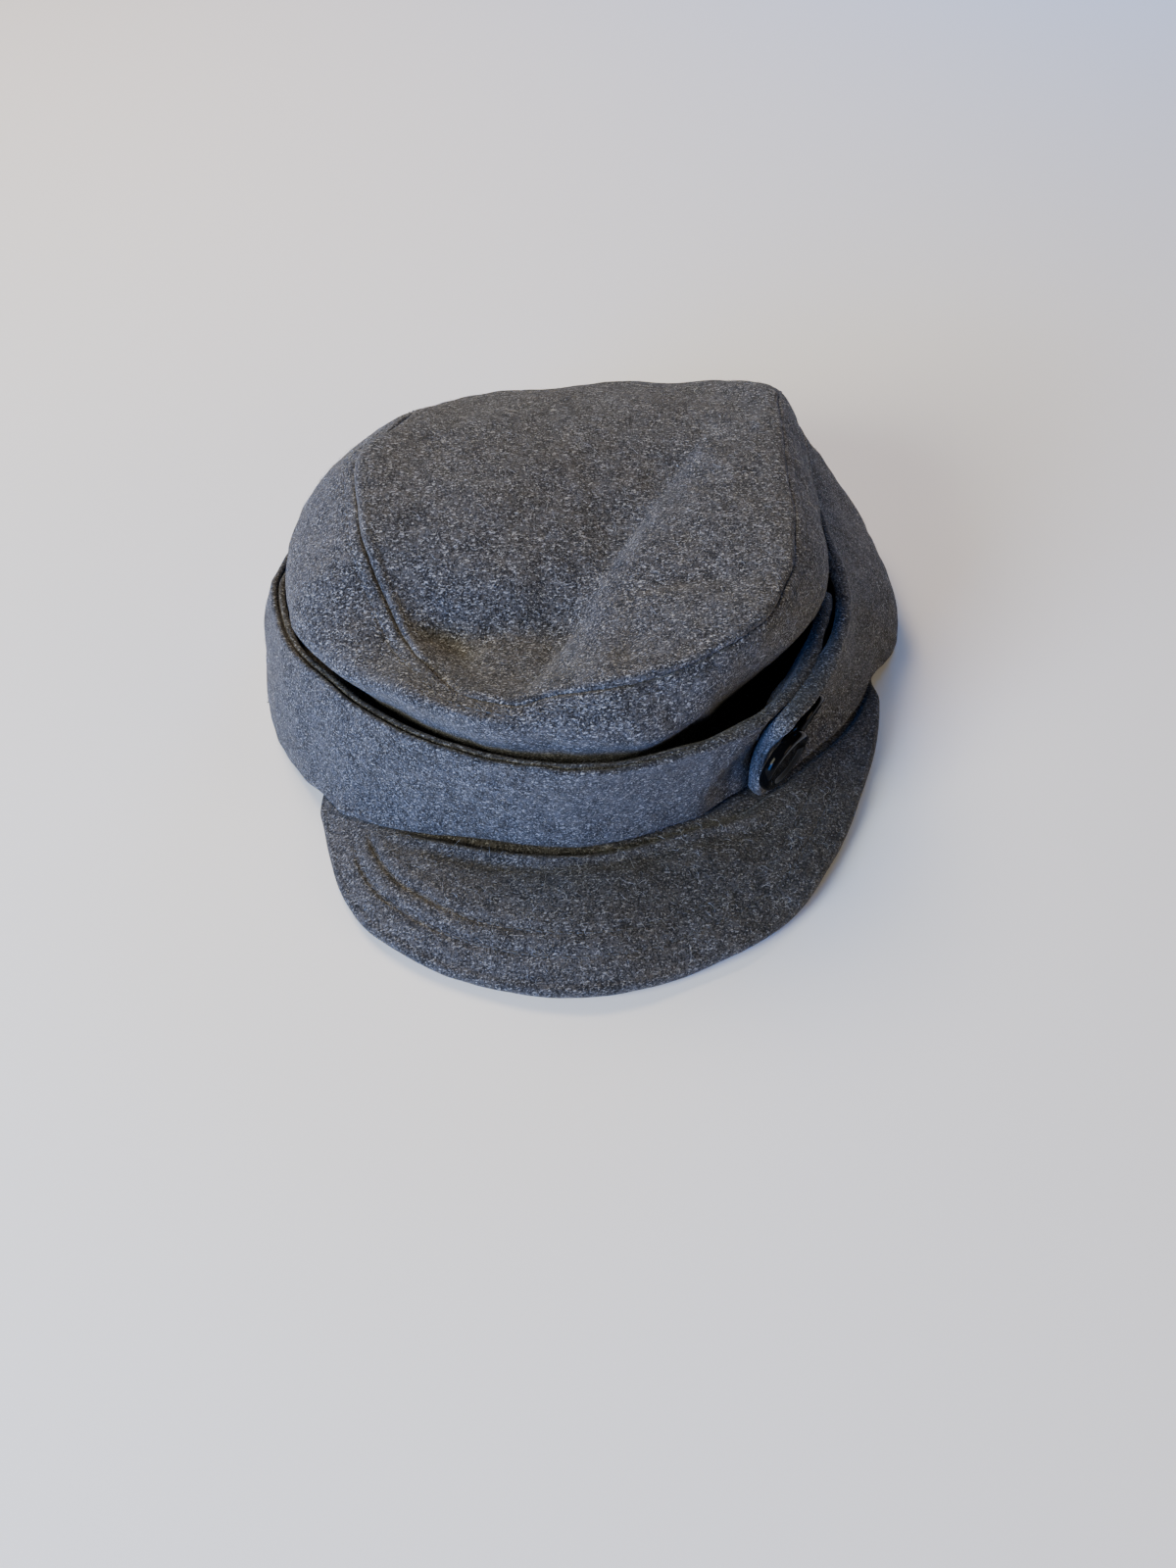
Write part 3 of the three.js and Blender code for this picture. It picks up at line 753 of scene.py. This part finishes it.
def hem_flare(angle, height):
    """How far the hem is pressed out on to the peak, where the two run into each other at -X."""
    reach = np.interp(angle, PEAK["angle"], PEAK["reach"], left=0, right=0)
    where = smoothstep(angle, *FLARE_IN) * (1 - smoothstep(angle, *FLARE_OUT))
    up = height * (ring("rim_z", angle) - ring("hem_z", angle))
    return where * np.minimum(FLARE, FLARE_SHARE * reach) * np.exp(-up / FLARE_HEIGHT)


ROLL = 0.2                  # height of a layer's round edge, as a share of the band's thickness
INNER_ROLL = 0.85           # height of the inner layer's, as a share of the outer one's
GROOVE = 1.1                # depth of the groove between two layers, as a share of their roll
ONE_ROLL = 1.45             # height of the one round edge at the lap, as a share of their roll
PART_IN, PART_OUT = (-290, -240), (-8, 14)      # angles over which the layers part and close


def rim_profile(t, angle):
    """Across the rim, t from 0 at its outer edge to 1 at its inner one: the round edges of two
    layers of cloth side by side, with a groove between them. They lie close together at the
    lap, where the rim is one round edge."""
    apart = smoothstep(angle, *PART_IN) * (1 - smoothstep(angle, *PART_OUT))
    layers = np.where(t < 0.5, 1.0, INNER_ROLL) * np.abs(np.sin(2 * np.pi * t)) ** 0.5
    two = layers - GROOVE * bump(t, 0.5, 0.06)
    one = ONE_ROLL * np.sin(np.pi * t) ** 0.55
    return BAND * ROLL * (one + apart * (two - one))


TAB_END, TAB_RADIUS = 26.6, 5.5    # angle of the lap's folded end, and radius of its corners
TAB_CUTS = (0.5, 0.9)       # share of a round corner that is cut off at the hem and at the rim
END_ROUND = 0.85            # share of half the thickness by which a face is drawn in at the end
LAP_SLANT = -1.0            # degrees added at the hem to the angle of the end: it reaches further
LAP_PUFF = 0.7              # how much the folded end of the lap stands up
THINNEST = 1.9              # layer that is pressed flat inside the lap
LEAN = 0.36                 # how far that layer's inner face may lean in for each step down
FACE_FROM, FACE_TO = 0.02, 0.985        # heights of the outer face's first and last row, as shares
INSIDE_FROM, INSIDE_TO = 0.97, 0.03     # the same of the inner face
INSIDE_WAVES = 0.3          # share of the felt's unevenness on the inner face
RIM_WAVES = 0.15            # height of the waves along the rim
HEM_DROP = 0.98 * FACE_FROM    # how far the hem's fold lies under the first row, as a share


def thinned(angle, height):
    """Thickness of the band, measured level. Inside the lap its layer is pressed flat below the
    rim, so that its inner face leans in no faster than LEAN."""
    across = band_across(angle, height)
    down = (1 - height) * (ring("rim_z", angle) - ring("hem_z", angle))
    radius = np.linalg.norm(band_outer(angle, height)[..., :2], axis=-1)
    rim = np.linalg.norm(band_outer(angle, np.ones_like(height))[..., :2], axis=-1)
    allowed = radius - (rim - BAND - LEAN * down)
    pressed = np.clip(allowed, THINNEST, across)
    share = np.where(angle > 0, lap_depth(angle), 0)
    return across + (pressed - across) * share


END = TAB_END - 360         # the lap's end, counted on from the strip's start the way it goes
END_TALL = float(ring("rim_z", END) - ring("hem_z", END))
END_SPAN = np.degrees(TAB_RADIUS / float(ring("rim", END)))    # degrees that its corners take up


def band_heights(angle):
    """Lowest and highest share of the band's height that is left at an angle: all of it, but at
    the lap's end the two corners are cut off along an arc."""
    past = np.clip(1 - (angle - END) / END_SPAN, 0, 1)
    cut = TAB_RADIUS * (1 - np.sqrt(1 - past**2)) / END_TALL
    at_hem, at_rim = TAB_CUTS
    return at_hem * cut, 1 - at_rim * cut


def band_faces(angle):
    """Outer face of the strip from the hem up, and its inner face from the rim down, at a
    thickness inwards. The lap's end slants, stands up a little, and has the outer and the inner
    face drawn together along an arc."""
    low, high = band_heights(angle)
    h_out = low + (high - low) * np.linspace(FACE_FROM, FACE_TO, 40)
    h_in = low + (high - low) * np.linspace(INSIDE_FROM, INSIDE_TO, 26)
    slant = LAP_SLANT * smoothstep(-angle, -END - 14, -END)
    turn_out, turn_in = angle + slant * (1 - h_out), angle + slant * (1 - h_in)
    outer = band_outer(turn_out, h_out)
    n = normals(outer, False)
    sign = np.sign(np.mean(n[..., :2] * outer[..., :2]))
    relief = felt(outer, BAND_SEED) + LAP_PUFF * smoothstep(-angle, -END - 5, -END - 1)
    outer = outer + sign * n * relief[..., None] + polar(hem_flare(angle, h_out), angle, 0)
    inner = band_outer(turn_in, h_in) - polar(thinned(angle, h_in), turn_in, 0)
    from_end = np.clip(1 - np.radians(angle - END) * ring("rim", END) / (BAND / 2), 0, 1)
    round_end = polar(END_ROUND * BAND / 2 * (1 - np.sqrt(1 - from_end**2)), angle, 0)
    outer, inner = outer - round_end, inner + round_end
    return outer, inner + INSIDE_WAVES * polar(felt(inner, BAND_INSIDE_SEED), angle, 0)


def make_band():
    """The turned-up band: sections up the outer face, over the folded rim, down the inner face
    and back under the hem, carried along the strip."""
    angle = np.concatenate([
        np.linspace(LAP_START, END + END_SPAN, 560),
        END + END_SPAN * (1 - np.sin(np.linspace(0.08, 1, 20) * np.pi / 2)),
    ])[:, None]
    outer, inner = band_faces(angle)
    t = np.linspace(0, 1, 33)[None, 1:-1]
    rim_out, rim_in = outer[:, -1:], inner[:, :1]
    roll = rim_out + (rim_in - rim_out) * t[..., None]
    roll[..., 2] += rim_profile(t, angle) + RIM_WAVES * ripple(rim_out, 14, RIM_SEED)
    bottom = np.linspace(0, 1, 6)[None, 1:-1, None]
    hem = inner[:, -1:] * (1 - bottom) + outer[:, :1] * bottom
    hem[..., 2] -= HEM_DROP * END_TALL
    grid = np.concatenate([outer, roll, inner, hem], 1)
    grid[..., 2] = np.maximum(grid[..., 2], ON_TABLE)
    closed_piece("band_cloth", with_ends(grid), strip_faces(*grid.shape[:2]),
                 band_wool, "band")


# Peak

# Forms near the peak's root: height, distance out from the hem, half width
ROOT_GROOVE = (1.7, 1.2, 1.4)
ROOT_GROOVE_PLAIN = (1.2, 0.3, 0.8)     # the narrower groove by the lap
ROOT_ROLL = (1.3, 4.4, 1.7)
SECOND_GROOVE = (0.5, 8.0, 2.0)
ROOT_FLUSH = (0.5, 0, 4)                # the peak presses up against the hem at -X
ROLL_PLAIN = 0.15                       # share of the roll that is left by the lap


def peak_top(angle, out):
    """Top surface of the peak at a distance out from the hem of the band: a straight fall to
    the table with an arch on it, and the rolled seam near its root."""
    reach = peak_reach(angle)
    root_z = ring("hem_z", angle) - CLEAR
    fall = np.maximum(root_z - VISOR, 0)
    share = np.clip(out / reach, 0, 1)
    arch = 4 * PEAK_ARCH * reach * share * (1 - share)
    deep_enough = smoothstep(reach, 3, 9)
    sewn = smoothstep(angle, -46, -32) * deep_enough
    plain = smoothstep(angle, 8, 30)
    rolled = sewn * (1 - (1 - ROLL_PLAIN) * plain)
    groove = sewn * (puff(out, ROOT_GROOVE) * (1 - plain) + puff(out, ROOT_GROOVE_PLAIN) * plain)
    groove = groove + rolled * puff(out, SECOND_GROOVE)
    flush = smoothstep(-angle, 26, 34) * deep_enough * puff(out, ROOT_FLUSH)
    seam = rolled * puff(out, ROOT_ROLL) - groove + flush
    return polar(ring("hem", angle) + out, angle, root_z - fall * share + arch + seam)


PEAK_STITCHES = (9.0, 15.2)    # distances of the two rows of topstitching from the edge
NEAR_ROW, FAR_ROW = PEAK_STITCHES

# Dips along the rows and puffs beside them: height, distance from the edge, half width
PEAK_RELIEF = [
    (-0.85, NEAR_ROW, 0.9),
    (-0.75, FAR_ROW, 0.9),
    (0.3, NEAR_ROW - 3.4, 2.2),
    (0.5, (NEAR_ROW + FAR_ROW) / 2, 2.0),
    (0.3, FAR_ROW + 3.2, 2.2),
]


def stitch_share(angle):
    """How strongly the stitches draw in the peak: most at -X, less towards the middle."""
    reach = peak_reach(angle)
    return smoothstep(reach, 18, 26) * (1 - 0.65 * smoothstep(angle, -34, -8))


def peak_relief(angle, out):
    """The cloth dips along the two rows of topstitching and puffs up between and beside them: the
    sum of the ridges and dips, as strong as the stitches draw there."""
    edge = peak_reach(angle) - out
    return stitch_share(angle) * sum(puff(edge, shape) for shape in PEAK_RELIEF)


def visor_thickness(angle):
    """The peak's thickness: thin at its two corners, where it runs out under the hem."""
    return VISOR * (0.3 + 0.7 * smoothstep(peak_reach(angle), 1, 9))


PEAK_SWELL = 3.0            # how much the peak's middle is pushed up, a little towards -X


def peak_surface(angle, out):
    """The peak's top with its stitched relief, the waves of its cloth, and a parabola's swell."""
    top = peak_top(angle, out)
    waves = 0.8 * felt(top, PEAK_SEED) + 0.35 * ripple(top, 40, PEAK_SEED + 6)
    share = np.clip(out / peak_reach(angle), 0, 1)
    swell = PEAK_SWELL * bump(angle, -18, 24) * 4 * share * (1 - share)
    top[..., 2] += peak_relief(angle, out) + waves * smoothstep(out, 3, 9) + swell
    return top


CORNER_TUCK = 2.6           # how far the peak's two corners go in under the hem
PEAK_ROWS = 66              # rows of the peak's top, from its root to its edge
UNDER_ROWS = [0, 6, 14, 24, 34, 44, 54, 60, PEAK_ROWS - 1]    # those that its underside repeats


def make_peak():
    """The peak: sections out over the top, round the edge and back underneath, carried from one
    corner of the peak to the other."""
    angle = np.linspace(PEAK["angle"][0], PEAK["angle"][-1], 380)[:, None]
    reach = peak_reach(angle)
    tuck = PEAK_TUCK + lap_depth(angle) * BAND
    half = np.minimum(VISOR / 2, 0.45 * reach)
    edge = reach - half - CORNER_TUCK * (1 - smoothstep(reach, 0.8, 5.5))
    start = np.minimum(0, edge - 0.4)
    t = np.linspace(0, 1, PEAK_ROWS)[None] ** 1.15
    out = start + t * (edge - start)
    top = peak_surface(angle, out)
    root = top[:, :1] - polar(tuck + start, angle, 0)

    def under(p):
        """The same points a thickness lower, and never in the table."""
        low = p.copy()
        low[..., 2] = np.maximum(p[..., 2] - visor_thickness(angle), ON_TABLE)
        return low

    low = under(top[:, UNDER_ROWS][:, ::-1])
    low_root = under(root)
    turn = np.linspace(0, np.pi, 13)[None, 1:-1]
    lip_top, lip_low = top[:, -1:], low[:, :1]
    lip = (lip_top + lip_low) / 2 + (lip_top - lip_low) / 2 * np.cos(turn)[..., None]
    lip = lip + polar(half * np.sin(turn), angle, 0)
    grid = np.concatenate([root, top, lip, low, low_root], 1)
    grid[..., 2] = np.maximum(grid[..., 2], ON_TABLE)
    closed_piece("visor_cloth", with_ends(grid), strip_faces(*grid.shape[:2]),
                 visor_wool, "visor")


# Buttons

def make_button(node, x, y, z, facing, down, shank):
    """A turned disc: its profile, as radius and height over the face, from the stem behind round
    the edge to the dished face, spun about the axis that it faces along."""
    flat, t = BUTTON_RADIUS - BUTTON_EDGE, BUTTON_THICKNESS
    edge = np.linspace(-np.pi / 2, np.pi / 2, 13)
    rim = np.linspace(0, 1, 14)[1:]
    slope = -DISH_DEPTH * smoothstep(rim, 0.25, 1) + 0.12 * np.sin(np.pi * rim)
    profile = np.concatenate([
        [(0.01, -t - shank), (STEM - STEM_BEVEL, -t - shank), (STEM, -t - shank + STEM_BEVEL / 2)],
        [(STEM, -t + STEM_BEVEL / 2), (STEM + STEM_BEVEL, -t)],
        np.stack([flat + BUTTON_EDGE * np.cos(edge), -t / 2 + (t / 2) * np.sin(edge)], -1),
        np.stack([flat - DISH * rim, slope], -1),
        [(4.2, -0.98), (2.2, -1.0), (0.01, -1.0)],
    ])
    turn = np.linspace(0, 2 * np.pi, 96, endpoint=False)
    axis = facing_way(facing, -down)
    side = np.cross([0, 0, 1], axis)
    side /= np.linalg.norm(side)
    up = np.cross(axis, side)
    spoke = np.cos(turn)[:, None] * side + np.sin(turn)[:, None] * up
    grid = np.array([x, y, z]) + spoke[:, None] * profile[None, :, :1] + axis * profile[None, :, 1:]
    m, n = grid.shape[:2]
    middles = grid[:, [0, -1]].mean(0)
    points = np.concatenate([grid.reshape(-1, 3), middles])
    i = np.arange(m)
    ends = np.concatenate([
        np.stack([np.full(m, m * n), (i + 1) % m * n, i * n], -1),
        np.stack([np.full(m, m * n + 1), i * n + n - 1, (i + 1) % m * n + n - 1], -1),
    ])
    closed_piece(node + "_gloss", points, [grid_faces(m, n, True, False), ends[:, ::-1]],
                 black_gloss, node)


# Thread and stray fibres

THREAD = 0.42               # width of the sewing thread
STITCH_PITCH = 2.9          # from one stitch to the next
STITCH_LENGTH = 2.3
STITCH_FIRST = 1.5          # from the start of the row to the first stitch
STITCH_RISE, STITCH_SUNK = 0.28, 0.16    # height of a stitch's arch, and how deep its ends lie


SLANTED = [0.31, 0.42, 0.85]    # a direction that next to no tube runs along


def tubes(paths, radius, sides):
    """Points and faces of many thin closed tubes: a circle about each point of their axes, across
    the axis. paths holds the axes, tubes by steps, and radius the radius at each step."""
    count, steps = paths.shape[:2]
    along = np.gradient(paths, axis=1)
    along /= np.maximum(np.linalg.norm(along, axis=-1, keepdims=True), 1e-9)
    aside = np.cross(along, SLANTED)
    aside /= np.maximum(np.linalg.norm(aside, axis=-1, keepdims=True), 1e-9)
    third = np.cross(along, aside)
    turn = 2 * np.pi * np.arange(sides) / sides
    spoke = np.cos(turn)[:, None] * aside[:, :, None] + np.sin(turn)[:, None] * third[:, :, None]
    grid = paths[:, :, None] + np.broadcast_to(radius, (count, steps))[..., None, None] * spoke
    each = steps * sides
    start = np.arange(count)[:, None, None] * each
    walls = (grid_faces(steps, sides, False, True)[None] + start).reshape(-1, 4)
    ends = np.stack([np.arange(sides)[::-1], (steps - 1) * sides + np.arange(sides)])
    ends = (ends[None] + start).reshape(-1, sides)
    return grid.reshape(-1, 3), [walls, ends]


FIBRE, FIBRE_LONG = 0.036, (1.5, 5.0)    # radius and lengths of a loose fibre
LINT, LINT_LONG = 0.2, (0.5, 1.1)        # the same of a fleck of lint
FIBRE_RISE = (0.1, 0.6)                  # how far its middle stands off the cloth
FIBRE_CURVE = 1.8                        # spread of the turn along a fibre, in radians
LEAST_CURVE = 0.2                        # a fibre turns by at least this
FIBRE_SUNK = 0.05                        # how deep its two ends lie in the cloth

# How many loose fibres or flecks lie on each panel, and the seed of their places
FUZZ = {
    "crown_top_fuzz": (900, 3),
    "crown_lint": (14, 7),
    "crown_side_fuzz": (600, 4),
    "band_fuzz": (700, 5),
    "band_lint": (16, 8),
    "visor_fuzz": (400, 6),
}


def make_fuzz(name, grid, out, radius=FIBRE, lengths=FIBRE_LONG):
    """Loose fibres that curl over a surface, spread evenly over its area. Each is an arc in the
    surface's plane that rises from the nap and falls back into it."""
    count, seed = FUZZ[name]
    rng = np.random.default_rng(seed)
    area = np.linalg.norm(np.cross(np.gradient(grid, axis=0), np.gradient(grid, axis=1)), axis=-1)
    pick = rng.choice(area.size, count, p=(area / area.sum()).ravel())
    start, n = grid.reshape(-1, 3)[pick], out.reshape(-1, 3)[pick]
    ahead = rng.normal(size=(count, 3))
    ahead -= (ahead * n).sum(1, keepdims=True) * n
    ahead /= np.linalg.norm(ahead, axis=1, keepdims=True)
    aside = np.cross(n, ahead)
    t = np.linspace(0, 1, 7)
    curl = rng.normal(0, FIBRE_CURVE, count)[:, None]
    curl = np.where(np.abs(curl) < LEAST_CURVE, LEAST_CURVE, curl)
    long = rng.uniform(*lengths, (count, 1))
    rise = rng.uniform(*FIBRE_RISE, (count, 1)) * np.sin(np.pi * t) - FIBRE_SUNK
    path = start[:, None] + n[:, None] * rise[..., None]
    path = path + ahead[:, None] * (long * np.sin(curl * t) / curl)[..., None]
    path = path + aside[:, None] * (long * (1 - np.cos(curl * t)) / curl)[..., None]
    points, parts = tubes(path, radius * (1 - 0.6 * t**2), 3)
    closed_piece(name, points, parts, fibre)


def make_stitches(name, line, out, material):
    """A row of stitches along a line of surface points with the directions out of the cloth. Each
    is an arch of thread, thinner at its two ends, which lie in the cloth."""
    length = np.concatenate([[0], np.cumsum(np.linalg.norm(np.diff(line, axis=0), axis=1))])
    first = np.arange(STITCH_FIRST, length[-1] - STITCH_LENGTH, STITCH_PITCH)
    t = np.linspace(0, 1, 7)
    at = first[:, None] + STITCH_LENGTH * t
    path = np.stack([np.interp(at, length, line[:, k]) for k in range(3)], -1)
    lift = np.stack([np.interp(at, length, out[:, k]) for k in range(3)], -1)
    rise = STITCH_RISE * np.sin(np.pi * t) ** 0.7 - STITCH_SUNK
    path = path + lift * rise[:, None]
    points, parts = tubes(path, THREAD / 2 * (0.35 + 0.65 * np.sin(np.pi * t) ** 0.6), 6)
    closed_piece(name, points, parts, material)


def make_crown_fuzz():
    """Loose fibres and lint on the top panel, and on the wall above the band's rim."""
    level = np.linspace(3.05, 5.9, 120)
    outer, _ = crown_sheet(around, level, True, TOP_SEED)
    make_fuzz("crown_top_fuzz", outer, normals(outer, True))
    make_fuzz("crown_lint", outer, normals(outer, True), LINT, LINT_LONG)
    level = np.linspace(2.1, 2.95, 40)
    outer, _ = crown_sheet(around, level, False, SIDE_SEED)
    make_fuzz("crown_side_fuzz", outer, normals(outer, True))


def make_band_fuzz():
    """Loose fibres and lint on the band's outer face, from beside the lap's end all the way round
    to it."""
    angle = np.linspace(LAP_START - 45, TAB_END - 357, 500)[:, None]
    outer = band_outer(angle, np.linspace(0.12, 0.97, 40))
    n = normals(outer, False)
    n = n * np.sign((n[..., :2] * outer[..., :2]).sum(-1).mean())
    outer = outer + n * felt(outer, BAND_SEED)[..., None]
    make_fuzz("band_fuzz", outer, n)
    make_fuzz("band_lint", outer, n, LINT, LINT_LONG)


def make_peak_fuzz():
    """Loose fibres on the top of the peak, from 4 mm off the hem to 2 mm from the edge."""
    angle = np.linspace(-50, 60, 300)[:, None]
    out = 4 + (peak_reach(angle) - 6) * np.linspace(0, 1, 40)
    top = peak_surface(angle, out)
    n = normals(top, False)
    make_fuzz("visor_fuzz", top, n * np.sign(n[..., 2:].mean()))


def make_crown_stitches():
    """The topstitching on the side panel, one row that follows the top seam: at each angle, the
    point of the wall that lies nearest to the row's distance from the seam."""
    level = np.linspace(2.5, 3 - SEAM_GAP, 40)
    outer, _ = crown_sheet(around, level, False, SIDE_SEED)
    n = normals(outer, True)
    d = run(outer)
    d = d[:, -1:] - d
    nearest = np.abs(d - STITCH_ROW).argmin(1)
    rows = np.arange(ROUND)
    make_stitches("crown_stitches", outer[rows, nearest], n[rows, nearest], thread)


def make_peak_stitches():
    """The two rows of topstitching on the peak, each at its distance from the edge, as far as it
    stays clear of the hem."""
    for name, from_edge in zip(("visor_stitches_outer", "visor_stitches_inner"), PEAK_STITCHES):
        angle = np.linspace(-47, 46, 400)[:, None]
        out = peak_reach(angle) - from_edge
        clear = out[:, 0] > 3
        angle, out = angle[clear], out[clear]
        line = peak_surface(angle, out)[:, 0]
        outward = peak_surface(angle, out + 0.5)[:, 0] - line
        up = np.cross(np.gradient(line, axis=0), outward)
        up /= np.linalg.norm(up, axis=-1, keepdims=True)
        make_stitches(name, line, up * np.sign(up[:, 2:]), thread)


make_crown_side()
make_crown_top()
make_band()
make_peak()
make_crown_stitches()
make_peak_stitches()
make_crown_fuzz()
make_band_fuzz()
make_peak_fuzz()
for button in BUTTONS:
    make_button(**button)


# Floor, lights and camera

FLOOR = 3.0                 # half the side of the table top, in metres
LIGHT_DISTANCE = 1.2        # metres, from the middle of the cap
LIGHT_SIZE = 0.5            # metres, the side of a light

# Azimuth and elevation of each light in degrees, its power in watts, and its colour. They are
# tinted as the tones in the photo ask: yellowish and blue from -X, orange and blue from behind,
# and warm from +X
LIGHTS = [
    ("window", -58, 31, 16, (1.0, 0.98, 0.76)),
    ("lamp", -150, 52, 13, (1.0, 0.8, 0.56)),
    ("sky", -48, 13, 25, (0.08, 0.3, 1.0)),
    ("back", 150, 25, 6, (0.05, 0.32, 1.0)),
    ("front", 52, 20, 5, (1.0, 0.84, 0.62)),
]


def make_floor():
    """A pale square table top at the height of the cap's underside."""
    mesh = bpy.data.meshes.new("floor")
    s = FLOOR
    mesh.from_pydata([(-s, -s, 0), (s, -s, 0), (s, s, 0), (-s, s, 0)], [], [(0, 1, 2, 3)])
    material, _, _, shader = new_material("floor")
    shader.inputs["Base Color"].default_value = (0.9, 0.9, 0.9, 1)
    shader.inputs["Roughness"].default_value = 0.9
    mesh.materials.append(material)
    floor = bpy.data.objects.new("floor", mesh)
    bpy.context.scene.collection.objects.link(floor)


def area_light(name, azimuth, elevation, power, colour):
    """A soft square light that looks at the cap, from an azimuth round it (0 in front, 90 at +X)."""
    light = bpy.data.lights.new(name, "AREA")
    light.size = LIGHT_SIZE
    light.energy = power
    light.color = colour
    lamp = bpy.data.objects.new(name, light)
    bpy.context.scene.collection.objects.link(lamp)
    way = Vector(facing_way(azimuth, elevation))
    lamp.location = way * LIGHT_DISTANCE
    lamp.rotation_mode = "QUATERNION"
    lamp.rotation_quaternion = way.to_track_quat("Z", "Y")


def make_world():
    """A faint warm light from all round."""
    world = bpy.data.worlds.new("room")
    bpy.context.scene.world = world
    world.use_nodes = True
    room = world.node_tree.nodes["Background"]
    room.inputs["Color"].default_value = (1.0, 0.97, 0.94, 1)
    room.inputs["Strength"].default_value = 0.04


# The camera stands 437 mm from a point on the table under the front of the cap, 50 degrees above
# the table and 8 degrees to the wearer's right
CAMERA_AZIMUTH, CAMERA_ELEVATION, CAMERA_DISTANCE = -8.0, 50.0, 436.6
CAMERA_TARGET = (-8.6, -55.8, 0.0)
CAMERA_LENS, CAMERA_SENSOR = 31.5, 36.0


def make_camera():
    """The camera, looking along the line from its place to its target."""
    data = bpy.data.cameras.new("camera")
    data.lens = CAMERA_LENS
    data.sensor_width = CAMERA_SENSOR
    camera = bpy.data.objects.new("camera", data)
    bpy.context.scene.collection.objects.link(camera)
    bpy.context.scene.camera = camera
    back = facing_way(CAMERA_AZIMUTH, CAMERA_ELEVATION)
    camera.location = (np.array(CAMERA_TARGET) + CAMERA_DISTANCE * back) * MM + BASE
    camera.rotation_mode = "QUATERNION"
    camera.rotation_quaternion = Vector(-back).to_track_quat("-Z", "Y")


make_floor()
for light in LIGHTS:
    area_light(*light)
make_world()
make_camera()
